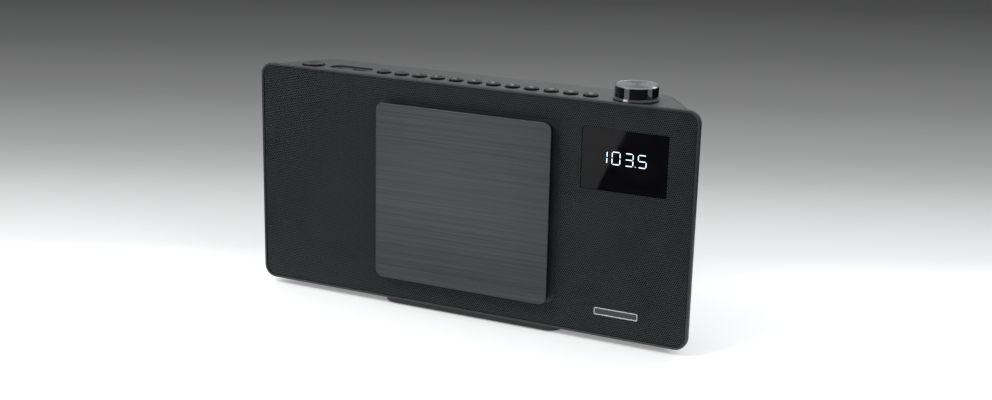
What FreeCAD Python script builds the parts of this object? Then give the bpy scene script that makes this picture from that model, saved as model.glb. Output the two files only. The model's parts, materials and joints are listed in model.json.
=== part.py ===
"""Tabletop radio: a slim upright CD radio with a sliding disc door, in millimetres.

Frame: +X to the right of someone facing the radio, +Y towards its back, +Z up.
The origin is on the table, under the middle of the radio.
"""
import FreeCAD, Part
import math
import os
import re

import Sketcher

SIZES = {
    # cabinet
    "width": 370.0, "height": 181.3, "depth": 54.0, "foot_height": 5.0, "door_proud": 7.5,
    "corner_radius": 10.0, "frame_depth": 4.0, "frame_edge": 0.5, "lip_width": 1.8,
    "seam_back": 0.7, "seam_width": 1.1, "seam_sink": 0.8,
    "cover_front_width": 363.4, "cover_back_width": 298.4, "cover_corner": 13.0,
    "cover_edge": 9.0, "cover_drop": 0.4, "wall": 2.2,
    # grille
    "grille_gap": 0.6, "grille_setback": 0.8, "grille_sheet": 0.8, "cloth": 0.4,
    # sliding door
    "door_width": 148.6, "door_height": 141.6, "door_radius": 6.3, "door_skin": 1.2,
    "door_backing": 4.2, "backing_inset": 0.8, "door_travel": 126.5,
    # disc bay
    "bay_width": 153.0, "bay_height": 142.4, "bay_radius": 5.0, "bay_x": 8.5,
    "well_radius": 61.5, "well_floor": 12.0, "well_wall": 1.4,
    "slot_rise": 66.5, "slot_height": 4.6, "slot_left": -70.0, "slot_right": 68.5,
    # door runners and drive
    "rod_radius": 2.0, "rod_depth": 10.0, "slider_left": 30.0, "slider_right": 74.0,
    "slider_outer": 4.25, "slider_inner": 3.2, "gear_x": -36.0, "rack_module": 0.8, "pinion_teeth": 14,
    "wheel_module": 0.5, "wheel_teeth": 28, "motor_teeth": 12, "backlash": 0.16,
    "running_gap": 0.05,
    # display and badge
    "display_x": 129.0, "display_z": 142.1, "display_width": 67.7, "display_height": 47.1,
    "badge_x": 128.1, "badge_z": 24.8, "badge_width": 35.0, "badge_height": 5.8,
    # loudspeakers
    "speaker_x": 122.0, "speaker_z": 70.0, "speaker_radius": 33.0,
    # controls on the top
    "button_count": 12, "button_first": -79.3, "button_pitch": 15.92, "button_depth": 14.3,
    "button_radius": 5.65, "button_proud": 1.5, "button_gap": 0.35,
    "power_x": -144.2, "power_radius": 9.1,
    "knob_x": 130.0, "knob_depth": 18.4, "knob_radius": 16.2, "knob_skirt": 17.2,
    "knob_height": 11.6,
    "recess_x": -110.2, "recess_depth_y": 16.8, "recess_length": 37.4, "recess_width": 14.5,
    "recess_sink": 1.4, "jack_x": -121.6, "usb_x": -103.3,
    "board_top": 176.0, "board": 1.6,
    # stand
    "foot_x": 4.0, "foot_width": 154.0, "foot_front": 1.2, "foot_back": 52.0, "foot_radius": 11.0,
    "pad_height": 1.0, "pad_radius": 5.0,
    # screws
    "boss_radius": 3.5, "screw_radius": 1.5, "screw_head": 2.8,
}

DERIVED = {
    "front_y": "(door_proud - depth) / 2",
    "middle_z": "foot_height + height / 2",
    "top_z": "foot_height + height - cover_drop",
    "rack_pitch_z": "middle_z - slot_rise - slider_outer - 2.5",
    "gear_z": "rack_pitch_z - rack_module * pinion_teeth / 2",
}

COVER_SCREWS = [(-133, 170.7), (0, 170.7), (133, 170.7), (-133, 16), (0, 16), (133, 16)]
BOARD_POSTS = [(-64, 56), (74, 56), (-64, 134), (74, 134)]
TOP_POSTS = [(-134, 27.4), (-60, 27.4), (28, 27.4), (104, 27.4)]
FOOT_SCREWS = [(-64.5, 13), (64.5, 13), (-64.5, 41), (64.5, 41)]
ALONG = {
    "X": FreeCAD.Rotation(FreeCAD.Vector(0, 1, 0), 90),
    "Y": FreeCAD.Rotation(FreeCAD.Vector(1, 0, 0), -90),
    "Z": FreeCAD.Rotation(),
}

doc = FreeCAD.newDocument("TabletopRadio")
pieces = []


# ---------------------------------------------------------------- sizes sheet

def make_sheet():
    """Put the driving sizes, then the ones worked out from them, in a named sheet."""
    page = doc.addObject("Spreadsheet::Sheet", "Sizes")
    for row, (alias, number) in enumerate(SIZES.items(), start=1):
        page.set("A%d" % row, alias)
        page.set("B%d" % row, str(number))
        page.setAlias("B%d" % row, alias)
    for row, (alias, text) in enumerate(DERIVED.items(), start=len(SIZES) + 1):
        page.set("A%d" % row, alias)
        page.set("B%d" % row, "=" + text)
        page.setAlias("B%d" % row, alias)
    doc.recompute()
    return page


sheet = make_sheet()


def formula(text):
    """The expression for a text in which each size is written by its bare name."""
    known = set(SIZES) | set(DERIVED)
    return re.sub(r"[a-z_]+", lambda word: ("Sizes." if word.group() in known else "") + word.group(),
                  str(text))


def measure(text):
    """The number that a formula stands for."""
    return float(sheet.evalExpression(formula(text)))


def behind(text):
    """Y of a place that lies a given depth behind the front plane of the cabinet."""
    return "front_y + (%s)" % text


# ---------------------------------------------------------------- placing and naming

def bind(item, **sizes):
    """Tie properties of an object to formulas."""
    for name, text in sizes.items():
        item.setExpression(name, formula(text))


def place(item, x="0", y="0", z="0"):
    """Tie the object's position to formulas, keeping its rotation."""
    for axis, text in (("x", x), ("y", y), ("z", z)):
        item.setExpression("Placement.Base." + axis, formula(text))


def piece(label, item):
    """Name a finished sub-part and list it for writing."""
    item.Label = label
    pieces.append(item)
    return item


# ---------------------------------------------------------------- Part primitives

def box(x, y, z):
    """Box between pairs of formulas, (low, high) along each axis."""
    item = doc.addObject("Part::Box", "Block")
    bind(item, Length="(%s) - (%s)" % (x[1], x[0]), Width="(%s) - (%s)" % (y[1], y[0]),
         Height="(%s) - (%s)" % (z[1], z[0]))
    place(item, x[0], y[0], z[0])
    return item


def rod(radius, length, x, y, z, along="Z"):
    """Cylinder that starts at a point and runs along an axis."""
    item = doc.addObject("Part::Cylinder", "Rod")
    item.Placement.Rotation = ALONG[along]
    bind(item, Radius=radius, Height=length)
    place(item, x, y, z)
    return item


def ball(radius, x, y, z):
    """Sphere about a point."""
    item = doc.addObject("Part::Sphere", "Ball")
    bind(item, Radius=radius)
    place(item, x, y, z)
    return item


def taper(radius_low, radius_high, length, x, y, z, along="Z"):
    """Cone that starts at a point and runs along an axis."""
    item = doc.addObject("Part::Cone", "Taper")
    item.Placement.Rotation = ALONG[along]
    bind(item, Radius1=radius_low, Radius2=radius_high, Height=length)
    place(item, x, y, z)
    return item


def join(*items):
    """One solid from several that touch or overlap."""
    item = doc.addObject("Part::MultiFuse", "Joined")
    item.Shapes = list(items)
    return item


def group(items):
    """Several separate solids under one name."""
    item = doc.addObject("Part::Compound", "Group")
    item.Links = list(items)
    return item


def cut(base, *tools):
    """A solid with the tools taken out of it."""
    item = doc.addObject("Part::Cut", "Cut")
    item.Base = base
    item.Tool = tools[0] if len(tools) == 1 else join(*tools)
    return item


# ---------------------------------------------------------------- PartDesign helpers

def new_body(label, x="0", y="0", z="0"):
    """Empty body, listed as a sub-part."""
    body = doc.addObject("PartDesign::Body", label)
    place(body, x, y, z)
    return piece(label, body)


def sketch_on(body, role, offset="0"):
    """Sketch on a plane of the body's own origin, moved by a formula along +X, +Y or +Z."""
    plane = next(item for item in body.Origin.OriginFeatures if item.Role == role)
    sketch = body.newObject("Sketcher::SketchObject", "Sketch")
    sketch.AttachmentSupport = [(plane, "")]
    sketch.MapMode = "FlatFace"
    sign = "-" if role == "XZ_Plane" else ""
    sketch.setExpression("AttachmentOffset.Base.z", formula("%s(%s)" % (sign, offset)))
    return sketch


def hold_point(sketch, geometry, end, x, y):
    """Pin a point of a sketch at two formulas."""
    for kind, text, axis in (("DistanceX", x, -2), ("DistanceY", y, -1)):
        number = measure(text)
        if abs(number) < 1e-9:
            sketch.addConstraint(Sketcher.Constraint("PointOnObject", geometry, end, axis))
            continue
        index = sketch.addConstraint(Sketcher.Constraint(kind, -1, 1, geometry, end, number))
        sketch.setExpression("Constraints[%d]" % index, formula(text))


def polygon(sketch, corners):
    """Closed outline through corners that are held by formulas."""
    points = [FreeCAD.Vector(measure(x), measure(y), 0) for x, y in corners]
    first = sketch.GeometryCount
    count = len(points)
    for index in range(count):
        line = Part.LineSegment(points[index], points[(index + 1) % count])
        sketch.addGeometry(line)
    for index in range(count):
        following = first + (index + 1) % count
        sketch.addConstraint(Sketcher.Constraint("Coincident", first + index, 2, following, 1))
        hold_point(sketch, first + index, 1, *corners[index])


def rectangle(sketch, width, height, x="0", y="0"):
    """Rectangle about a centre."""
    half_width = "(%s) / 2" % width
    half_height = "(%s) / 2" % height
    polygon(sketch, [("%s - %s" % (x, half_width), "%s - %s" % (y, half_height)),
                     ("%s + %s" % (x, half_width), "%s - %s" % (y, half_height)),
                     ("%s + %s" % (x, half_width), "%s + %s" % (y, half_height)),
                     ("%s - %s" % (x, half_width), "%s + %s" % (y, half_height))])


def rounded_rectangle(sketch, width, height, radius, x="0", y="0"):
    """Rectangle about a centre, with four quarter-round corners."""
    first = sketch.GeometryCount
    reach = ("(%s) / 2" % width, "(%s) / 2" % height)
    inner = ("%s - (%s)" % (reach[0], radius), "%s - (%s)" % (reach[1], radius))
    quarters = [("+", "-", 270), ("+", "+", 0), ("-", "+", 90), ("-", "-", 180)]
    ends = []
    for side, level, turn in quarters:
        centre = ("(%s) %s (%s)" % (x, side, inner[0]), "(%s) %s (%s)" % (y, level, inner[1]))
        edge = ("(%s) %s %s" % (x, side, reach[0]), "(%s) %s %s" % (y, level, reach[1]))
        flat = [(centre[0], edge[1]), (edge[0], centre[1])]
        ends.append(flat if turn in (270, 90) else flat[::-1])
        ring = Part.Circle(FreeCAD.Vector(measure(centre[0]), measure(centre[1]), 0),
                           FreeCAD.Vector(0, 0, 1), measure(radius))
        start = math.radians(turn)
        index = sketch.addGeometry(Part.ArcOfCircle(ring, start, start + math.pi / 2))
        size = sketch.addConstraint(Sketcher.Constraint("Radius", index, measure(radius)))
        sketch.setExpression("Constraints[%d]" % size, formula(radius))
    for number in range(4):
        following = (number + 1) % 4
        start, end = ends[number][1], ends[following][0]
        line = Part.LineSegment(FreeCAD.Vector(measure(start[0]), measure(start[1]), 0),
                                FreeCAD.Vector(measure(end[0]), measure(end[1]), 0))
        index = sketch.addGeometry(line)
        hold_point(sketch, index, 1, *start)
        hold_point(sketch, index, 2, *end)
        sketch.addConstraint(Sketcher.Constraint("Coincident", first + number, 2, index, 1))
        sketch.addConstraint(Sketcher.Constraint("Coincident", first + following, 1, index, 2))


def circle(sketch, x, y, radius):
    """Circle held by formulas."""
    centre = FreeCAD.Vector(measure(x), measure(y), 0)
    ring = Part.Circle(centre, FreeCAD.Vector(0, 0, 1), measure(radius))
    index = sketch.addGeometry(ring)
    hold_point(sketch, index, 3, x, y)
    size = sketch.addConstraint(Sketcher.Constraint("Radius", index, measure(radius)))
    sketch.setExpression("Constraints[%d]" % size, formula(radius))


def pad(body, sketch, length, reverse=False):
    """Raise a sketch. On XZ the solid grows towards -Y unless it is reversed."""
    feature = body.newObject("PartDesign::Pad", "Pad")
    feature.Profile = sketch
    feature.Reversed = reverse
    bind(feature, Length=length)
    doc.recompute()
    return feature


def pocket(body, sketch, depth, reverse=False):
    """Cut a sketch. On XZ the cut runs towards +Y unless it is reversed; on XY towards -Z."""
    before = body.Shape.Volume
    feature = body.newObject("PartDesign::Pocket", "Pocket")
    feature.Profile = sketch
    feature.Reversed = reverse
    bind(feature, Length=depth)
    doc.recompute()
    if body.Shape.Volume > before - 0.01:
        raise RuntimeError("%s: a pocket cuts nothing" % body.Label)
    return feature


def revolve(body, corners, role="XY_Plane"):
    """Turned solid: corners are (radius, place along the axis)."""
    sketch = sketch_on(body, role)
    polygon(sketch, corners)
    feature = body.newObject("PartDesign::Revolution", "Revolution")
    feature.Profile = sketch
    feature.ReferenceAxis = (sketch, ["V_Axis"])
    feature.Angle = 360
    doc.recompute()
    return feature


def fillet(body, base, test, radius):
    """Round the edges of a feature that pass a test."""
    names = ["Edge%d" % number for number, edge in enumerate(base.Shape.Edges, start=1) if test(edge)]
    feature = body.newObject("PartDesign::Fillet", "Fillet")
    feature.Base = (base, names)
    bind(feature, Radius=radius)
    doc.recompute()
    return feature


def runs_along(axis):
    """Test for straight edges parallel to an axis."""
    direction = ALONG[axis].multVec(FreeCAD.Vector(0, 0, 1))

    def test(edge):
        if edge.Curve.TypeId != "Part::GeomLine":
            return False
        return edge.tangentAt(edge.FirstParameter).cross(direction).Length < 1e-6
    return test


def lies_at(axis, text):
    """Test for edges that lie in a plane across an axis."""
    level = measure(text)

    def test(edge):
        limits = edge.BoundBox
        low = getattr(limits, axis + "Min")
        high = getattr(limits, axis + "Max")
        return abs(low - level) < 1e-3 and abs(high - level) < 1e-3
    return test


def plate(label, width, height, thickness, radius, x="0", y="0", z="0"):
    """Upright rounded plate about (x, z), from y towards the back."""
    body = new_body(label, x, y, z)
    sketch = sketch_on(body, "XZ_Plane")
    rounded_rectangle(sketch, width, height, radius)
    pad(body, sketch, thickness, reverse=True)
    return body


# ---------------------------------------------------------------- cabinet

def front_frame():
    """Moulded ring with its lip and seam, the baffle plate and the posts behind it."""
    body = new_body("front_frame", "0", "front_y", "middle_z")
    sketch = sketch_on(body, "XZ_Plane")
    rounded_rectangle(sketch, "width", "height", "corner_radius")
    solid = pad(body, sketch, "frame_depth", reverse=True)
    fillet(body, solid, lies_at("Y", "0"), "frame_edge")
    sketch = sketch_on(body, "XZ_Plane", "seam_back")
    rounded_rectangle(sketch, "width + 2 * seam_sink", "height + 2 * seam_sink",
                      "corner_radius + seam_sink")
    rounded_rectangle(sketch, "width - 2 * seam_sink", "height - 2 * seam_sink",
                      "corner_radius - seam_sink")
    pocket(body, sketch, "seam_width")
    sketch = sketch_on(body, "XZ_Plane")
    rounded_rectangle(sketch, "width - 2 * lip_width", "height - 2 * lip_width",
                      "corner_radius - lip_width")
    pocket(body, sketch, "grille_setback + grille_sheet + cloth")
    sketch = sketch_on(body, "XZ_Plane")
    rectangle(sketch, "bay_width + 0.6", "bay_height + 0.6")
    rectangle(sketch, "display_width - 3", "display_height - 3", "display_x", "display_z - middle_z")
    for side in ("-", ""):
        circle(sketch, side + "speaker_x", "speaker_z - middle_z", "speaker_radius - 3")
    pocket(body, sketch, "frame_depth")
    sketch = sketch_on(body, "XZ_Plane")
    rounded_rectangle(sketch, "display_width", "display_height", "1.7", "display_x",
                      "display_z - middle_z")
    pocket(body, sketch, "3")
    sketch = sketch_on(body, "XZ_Plane", "frame_depth")
    for x, z in COVER_SCREWS:
        circle(sketch, x, "%s - middle_z" % z, "boss_radius")
    pad(body, sketch, "7", reverse=True)
    sketch = sketch_on(body, "XZ_Plane", "frame_depth")
    circle(sketch, "gear_x", "gear_z - middle_z", "1.5")
    pad(body, sketch, "14.3", reverse=True)
    sketch = sketch_on(body, "XZ_Plane", "frame_depth")
    for x in ("gear_x - 22", "gear_x + 13"):
        circle(sketch, x, "gear_z - middle_z", "3")
    pad(body, sketch, "13.3", reverse=True)
    sketch = sketch_on(body, "XZ_Plane", "frame_depth")
    for side in ("-", ""):
        rectangle(sketch, "4", "8", "-102", side + "slot_rise")
    pad(body, sketch, "9.5", reverse=True)
    sketch = sketch_on(body, "XZ_Plane", "frame_depth + 7")
    for x, z in COVER_SCREWS:
        circle(sketch, x, "%s - middle_z" % z, "screw_radius")
    pocket(body, sketch, "5", reverse=True)
    sketch = sketch_on(body, "YZ_Plane", "-106")
    for side in ("-", ""):
        circle(sketch, "rod_depth", side + "slot_rise", "rod_radius")
    pocket(body, sketch, "8", reverse=True)


def grille():
    """Flat front sheet with the openings for the disc bay and the display."""
    body = plate("grille", "width - 2 * lip_width - 2 * grille_gap",
                 "height - 2 * lip_width - 2 * grille_gap", "grille_sheet",
                 "corner_radius - lip_width - grille_gap", "0", behind("grille_setback"), "middle_z")
    cut_front_openings(body, "grille_sheet")


def grille_cloth():
    """Thin black cloth between the grille and the baffle."""
    body = plate("grille_cloth", "width - 2 * lip_width - 2", "height - 2 * lip_width - 2", "cloth",
                 "corner_radius - lip_width - 1", "0", behind("grille_setback + grille_sheet"), "middle_z")
    cut_front_openings(body, "cloth")


def cut_front_openings(body, depth):
    """The bay's and the display's openings in a front sheet."""
    sketch = sketch_on(body, "XZ_Plane")
    rounded_rectangle(sketch, "bay_width + 0.6", "bay_height + 0.6", "bay_radius + 0.3")
    rounded_rectangle(sketch, "display_width", "display_height", "1.7", "display_x",
                      "display_z - middle_z")
    pocket(body, sketch, depth)


def rear_cover():
    """Back shell: sides that run inwards, rounded edges, the top for the controls, and bosses."""
    body = new_body("rear_cover", "0", "front_y", "0")
    sketch = sketch_on(body, "XY_Plane", "foot_height")
    polygon(sketch, [("-cover_front_width / 2", "frame_depth"), ("cover_front_width / 2", "frame_depth"),
                     ("cover_back_width / 2", "depth"), ("-cover_back_width / 2", "depth")])
    solid = pad(body, sketch, "height - cover_drop")
    back = measure("depth")

    def back_corner(edge):
        return runs_along("Z")(edge) and abs(edge.Vertexes[0].Y - back) < 0.1
    solid = fillet(body, solid, back_corner, "cover_corner")
    front = measure("frame_depth")

    def outer_edge(edge):
        limits = edge.BoundBox
        flat = abs(limits.ZMax - limits.ZMin) < 1e-3
        return flat and limits.YMax > front + 0.1
    solid = fillet(body, solid, outer_edge, "cover_edge")
    shell = body.newObject("PartDesign::Thickness", "Thickness")
    shell.Base = (solid, [open_front(solid.Shape, front)])
    shell.Reversed = True
    bind(shell, Value="wall")
    doc.recompute()
    cover_bosses(body)
    cover_top_openings(body)
    cover_back_openings(body)


def open_front(shape, level):
    """Name of the flat face that lies at the front of a shape."""
    for number, face in enumerate(shape.Faces, start=1):
        limits = face.BoundBox
        if abs(limits.YMin - level) < 1e-3 and abs(limits.YMax - level) < 1e-3:
            return "Face%d" % number
    raise RuntimeError("the cover has no front face")


def cover_bosses(body):
    """Bosses for the long screws, posts for both boards, and the floor of the socket recess."""
    sketch = sketch_on(body, "XZ_Plane", "frame_depth + 7.3")
    for x, z in COVER_SCREWS:
        circle(sketch, x, z, "boss_radius")
    pad(body, sketch, "depth - frame_depth - 7.3 - wall / 2", reverse=True)
    sketch = sketch_on(body, "XZ_Plane", "44.6")
    for x, z in BOARD_POSTS:
        circle(sketch, x, z, "3")
    pad(body, sketch, "depth - 44.6 - wall / 2", reverse=True)
    sketch = sketch_on(body, "XY_Plane", "board_top")
    for x, y in TOP_POSTS:
        circle(sketch, x, y, "2.5")
    pad(body, sketch, "top_z - board_top - wall / 2")
    sketch = sketch_on(body, "XY_Plane", "foot_height + wall / 2")
    for x, y in FOOT_SCREWS:
        circle(sketch, x, y, "boss_radius")
    pad(body, sketch, "8")
    sketch = sketch_on(body, "XY_Plane", "top_z - recess_sink - wall")
    rectangle(sketch, "recess_length + 5", "recess_width + 5", "recess_x", "recess_depth_y")
    pad(body, sketch, "recess_sink + wall / 2")


def cover_top_openings(body):
    """Button holes, the knob's hole, and the recess with its two sockets."""
    sketch = sketch_on(body, "XY_Plane", "top_z")
    for index in range(int(measure("button_count"))):
        circle(sketch, "button_first + %d * button_pitch" % index, "button_depth",
               "button_radius + button_gap")
    circle(sketch, "power_x", "button_depth", "power_radius + button_gap")
    circle(sketch, "knob_x", "knob_depth", "4.8")
    pocket(body, sketch, "wall + 0.5")
    straight = "(recess_length - recess_width) / 2"
    sketch = sketch_on(body, "XY_Plane", "top_z")
    rectangle(sketch, "recess_length - recess_width", "recess_width", "recess_x", "recess_depth_y")
    pocket(body, sketch, "recess_sink")
    for side in ("-", "+"):
        sketch = sketch_on(body, "XY_Plane", "top_z")
        circle(sketch, "recess_x %s %s" % (side, straight), "recess_depth_y", "recess_width / 2")
        pocket(body, sketch, "recess_sink")
    sketch = sketch_on(body, "XY_Plane", "top_z")
    circle(sketch, "jack_x", "recess_depth_y", "3.2")
    rectangle(sketch, "13.6", "6.2", "usb_x", "recess_depth_y")
    pocket(body, sketch, "recess_sink + wall + 0.5")


def cover_back_openings(body):
    """Screw holes, power inlet, aerial bush and the vents behind the loudspeakers."""
    sketch = sketch_on(body, "XZ_Plane", "depth")
    for x, z in COVER_SCREWS:
        circle(sketch, x, z, "screw_radius + 0.2")
    pocket(body, sketch, "depth - frame_depth - 7", reverse=True)
    sketch = sketch_on(body, "XZ_Plane", "depth")
    for x, z in COVER_SCREWS:
        circle(sketch, x, z, "screw_head + 0.2")
    pocket(body, sketch, "5", reverse=True)
    sketch = sketch_on(body, "XZ_Plane", "depth")
    rectangle(sketch, "9.6", "11.6", "56", "57.5")
    circle(sketch, "40", "57.5", "3")
    for side in (-1, 1):
        for index in range(9):
            rectangle(sketch, "2.4", "30", "%d * 104 + %d" % (side, 6 * (index - 4)), "90")
    pocket(body, sketch, "wall + 0.6", reverse=True)
    sketch = sketch_on(body, "XY_Plane", "foot_height")
    for x, y in FOOT_SCREWS:
        circle(sketch, x, y, "screw_radius")
    pocket(body, sketch, "8", reverse=True)


def foot():
    """Low rounded block under the middle of the cabinet, with seats for its screws and pads."""
    body = new_body("foot", "0", "front_y", "0")
    sketch = sketch_on(body, "XY_Plane", "pad_height")
    rounded_rectangle(sketch, "foot_width", "foot_back - foot_front", "foot_radius", "foot_x",
                      "(foot_back + foot_front) / 2")
    solid = pad(body, sketch, "foot_height - pad_height")
    fillet(body, solid, lies_at("Z", "pad_height"), "0.8")
    sketch = sketch_on(body, "XY_Plane", "foot_height")
    for x, y in FOOT_SCREWS:
        circle(sketch, x, y, "screw_radius + 0.2")
    pocket(body, sketch, "foot_height")
    sketch = sketch_on(body, "XY_Plane", "pad_height")
    for x, y in FOOT_SCREWS:
        circle(sketch, x, y, "screw_head + 0.2")
    pocket(body, sketch, "2", reverse=True)
    sketch = sketch_on(body, "XY_Plane", "pad_height")
    for x, y in pad_places():
        circle(sketch, x, y, "pad_radius")
    pocket(body, sketch, "0.6", reverse=True)


def pad_places():
    """Centres of the four rubber pads, measured from the front plane."""
    return [(side + "48", y) for side in ("-", "") for y in ("foot_front + 9", "foot_back - 9")]


def foot_pads():
    """Four rubber discs let into the foot."""
    piece("foot_pads", group([rod("pad_radius", "pad_height + 0.6", x, behind(y), "0")
                              for x, y in pad_places()]))


def display_window():
    """Tinted window, a little behind the grille's face."""
    plate("display_window", "display_width - 0.4", "display_height - 0.4", "1.2", "1.5",
          "display_x", behind("1.8"), "display_z")


def display_module():
    """Light box behind the window, open towards it."""
    housing = box(("display_x - 36", "display_x + 36"), (behind("frame_depth"), behind("13")),
                  ("display_z - 25", "display_z + 25"))
    hollow = box(("display_x - 32", "display_x + 32"), (behind("frame_depth - 1"), behind("8")),
                 ("display_z - 21.5", "display_z + 21.5"))
    piece("display_module", cut(housing, hollow))


def badge():
    """Plain metal plate glued on the grille."""
    plate("badge", "badge_width", "badge_height", "0.6", "0.8", "badge_x", behind("grille_setback - 0.6"),
          "badge_z")


# ---------------------------------------------------------------- disc bay and its mechanism

def cd_bay():
    """Front flange with the two runner slots, the round well and the rear flange."""
    body = plate("cd_bay", "bay_width", "bay_height", "frame_depth - grille_setback", "bay_radius", "0",
                 behind("grille_setback"), "middle_z")
    back = "frame_depth - grille_setback"
    sketch = sketch_on(body, "XZ_Plane", back)
    rectangle(sketch, "bay_width + 4.6", "bay_height")
    pad(body, sketch, "2", reverse=True)
    sketch = sketch_on(body, "XZ_Plane")
    circle(sketch, "bay_x", "0", "well_radius + well_wall")
    pad(body, sketch, "well_floor + 2 - grille_setback", reverse=True)
    sketch = sketch_on(body, "XZ_Plane")
    circle(sketch, "bay_x", "0", "well_radius")
    pocket(body, sketch, "well_floor - grille_setback")
    sketch = sketch_on(body, "XZ_Plane", "well_floor - grille_setback")
    rectangle(sketch, "54.6", "28", "bay_x - 35.3", "0")
    pocket(body, sketch, "2")
    sketch = sketch_on(body, "XZ_Plane", "well_floor - grille_setback")
    circle(sketch, "bay_x", "0", "16.5")
    pocket(body, sketch, "2")
    sketch = sketch_on(body, "XZ_Plane")
    for side in ("-", ""):
        rectangle(sketch, "slot_right - slot_left", "slot_height", "(slot_right + slot_left) / 2",
                  side + "slot_rise")
    pocket(body, sketch, "8")
    sketch = sketch_on(body, "XZ_Plane", back + " + 1")
    for side in ("-", ""):
        rectangle(sketch, "3.4", "8", "77", side + "slot_rise")
    pad(body, sketch, "8.5", reverse=True)
    sketch = sketch_on(body, "YZ_Plane", "80")
    for side in ("-", ""):
        circle(sketch, "rod_depth - grille_setback", side + "slot_rise", "rod_radius")
    pocket(body, sketch, "5")
    sketch = sketch_on(body, "XZ_Plane", back + " + 1")
    for side in ("-", ""):
        circle(sketch, "bay_x - 74", side + "28", "3")
    pad(body, sketch, "23 - frame_depth - 1", reverse=True)
    sketch = sketch_on(body, "XZ_Plane", "well_floor + 1 - grille_setback")
    for side in ("-", ""):
        circle(sketch, "bay_x + 18", side + "26", "3")
    pad(body, sketch, "23 - well_floor - 1", reverse=True)


def mech_plate():
    """Steel plate that carries the spindle motor, the rods and the pickup's drive."""
    sheet_steel = box(("bay_x - 80", "bay_x + 24"), (behind("24.5"), behind("25.5")),
                      ("middle_z - 33", "middle_z + 33"))
    left_tab = box(("bay_x - 80", "bay_x - 78.5"), (behind("17"), behind("25")),
                   ("middle_z - 23", "middle_z + 16"))
    right_tabs = [box(("bay_x - 9.5", "bay_x - 8"), (behind("17"), behind("25")),
                      ("middle_z %s" % low, "middle_z %s" % high))
                  for low, high in (("- 15.4", "- 11"), ("+ 11", "+ 15.4"))]
    window = box(("bay_x - 74", "bay_x - 12"), (behind("24"), behind("26")),
                 ("middle_z - 12", "middle_z + 12"))
    bore = rod("2.4", "3", "bay_x", behind("24"), "middle_z", "Y")
    rod_bores = [rod("1.5", "76", "bay_x - 81", behind("20"), "middle_z %s 13.5" % side, "X")
                 for side in "-+"]
    screw_bore = rod("1.55", "5", "bay_x - 81", behind("19.5"), "middle_z - 20.5", "X")
    solid = join(sheet_steel, left_tab, *right_tabs)
    piece("mech_plate", cut(solid, window, bore, screw_bore, *rod_bores))


def damper_places():
    """Centres of the four mounting posts of the mechanism."""
    return [("bay_x - 74", "middle_z - 28"), ("bay_x - 74", "middle_z + 28"),
            ("bay_x + 18", "middle_z - 26"), ("bay_x + 18", "middle_z + 26")]


def mech_dampers():
    """Four rubber rings between the bay's posts and the plate."""
    piece("mech_dampers", group([cut(rod("4.5", "1.5", x, behind("23"), z, "Y"),
                                     rod("1.4", "2", x, behind("22.8"), z, "Y"))
                                 for x, z in damper_places()]))


def spindle_motor():
    """Flat can motor behind the plate, with a nose through it and a bore for the shaft."""
    can = rod("12", "9", "bay_x", behind("25.5"), "middle_z", "Y")
    nose = rod("2.4", "3", "bay_x", behind("23.5"), "middle_z", "Y")
    bore = rod("1 + running_gap", "9", "bay_x", behind("23"), "middle_z", "Y")
    piece("spindle_motor", cut(join(can, nose), bore))


def turntable():
    """Disc rest with its centring hub, a bore for the shaft and three ball seats."""
    body = new_body("turntable_turned", "bay_x", behind("0"), "middle_z")
    revolve(body, [("1", "5"), ("6.2", "5"), ("7.3", "6.4"), ("7.3", "8.4"), ("15", "8.4"), ("15", "9.9"),
                   ("3.4", "9.9"), ("3.4", "17"), ("1", "17")])
    pieces.remove(body)
    seats = [rod("1.02", "2.1", x, behind("6.15"), z, "Y") for x, z in ball_places()]
    piece("turntable", cut(body, *seats))


def ball_places():
    """Centres of the three clamping balls."""
    return [("bay_x + 6.7 * cos(%d deg)" % angle, "middle_z + 6.7 * sin(%d deg)" % angle)
            for angle in (30, 150, 270)]


def clamp_balls():
    """Three balls that hold the disc on the hub."""
    piece("clamp_balls", group([ball("1", x, behind("7.2"), z) for x, z in ball_places()]))


def spindle_shaft():
    """Steel shaft pressed into the turntable."""
    piece("spindle_shaft", rod("1", "25", "bay_x", behind("5.5"), "middle_z", "Y"))


def pickup():
    """Laser carriage with its two rod bearings, lens turret and screw follower."""
    centre = "bay_x - 24"
    carriage = box((centre + " - 12.5", centre + " + 12.5"), (behind("14.8"), behind("23")),
                   ("middle_z - 16.4", "middle_z + 16.4"))
    turret = rod("4.2", "3", centre, behind("12.3"), "middle_z", "Y")
    follower = box((centre + " - 3", centre + " + 3"), (behind("16.5"), behind("22.5")),
                   ("middle_z - 23.5", "middle_z - 16"))
    lens_seat = rod("2.2", "1.2", centre, behind("12"), "middle_z", "Y")
    rod_bores = [rod("1.5 + running_gap", "30", centre + " - 15", behind("20"),
                     "middle_z %s 13.5" % side, "X") for side in "-+"]
    screw_bore = rod("1.5 + running_gap", "30", centre + " - 15", behind("19.5"), "middle_z - 20.5", "X")
    piece("pickup", cut(join(carriage, turret, follower), lens_seat, screw_bore, *rod_bores))


def pickup_lens():
    """Small domed lens in the turret."""
    disc = rod("2.2", "0.8", "bay_x - 24", behind("12.4"), "middle_z", "Y")
    dome = taper("1.2", "2.2", "0.5", "bay_x - 24", behind("11.9"), "middle_z", "Y")
    piece("pickup_lens", join(disc, dome))


def pickup_rods():
    """Two steel rods that the pickup slides on."""
    piece("pickup_rods", group([rod("1.5", "72", "bay_x - 80", behind("20"), "middle_z %s 13.5" % side, "X")
                                for side in "-+"]))


def sled_motor():
    """Small motor that turns the lead screw."""
    can = rod("4.8", "16", "bay_x - 7.6", behind("19.5"), "middle_z - 20.5", "X")
    bore = rod("1.5 + running_gap", "6", "bay_x - 9", behind("19.5"), "middle_z - 20.5", "X")
    piece("sled_motor", cut(can, bore))


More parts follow.
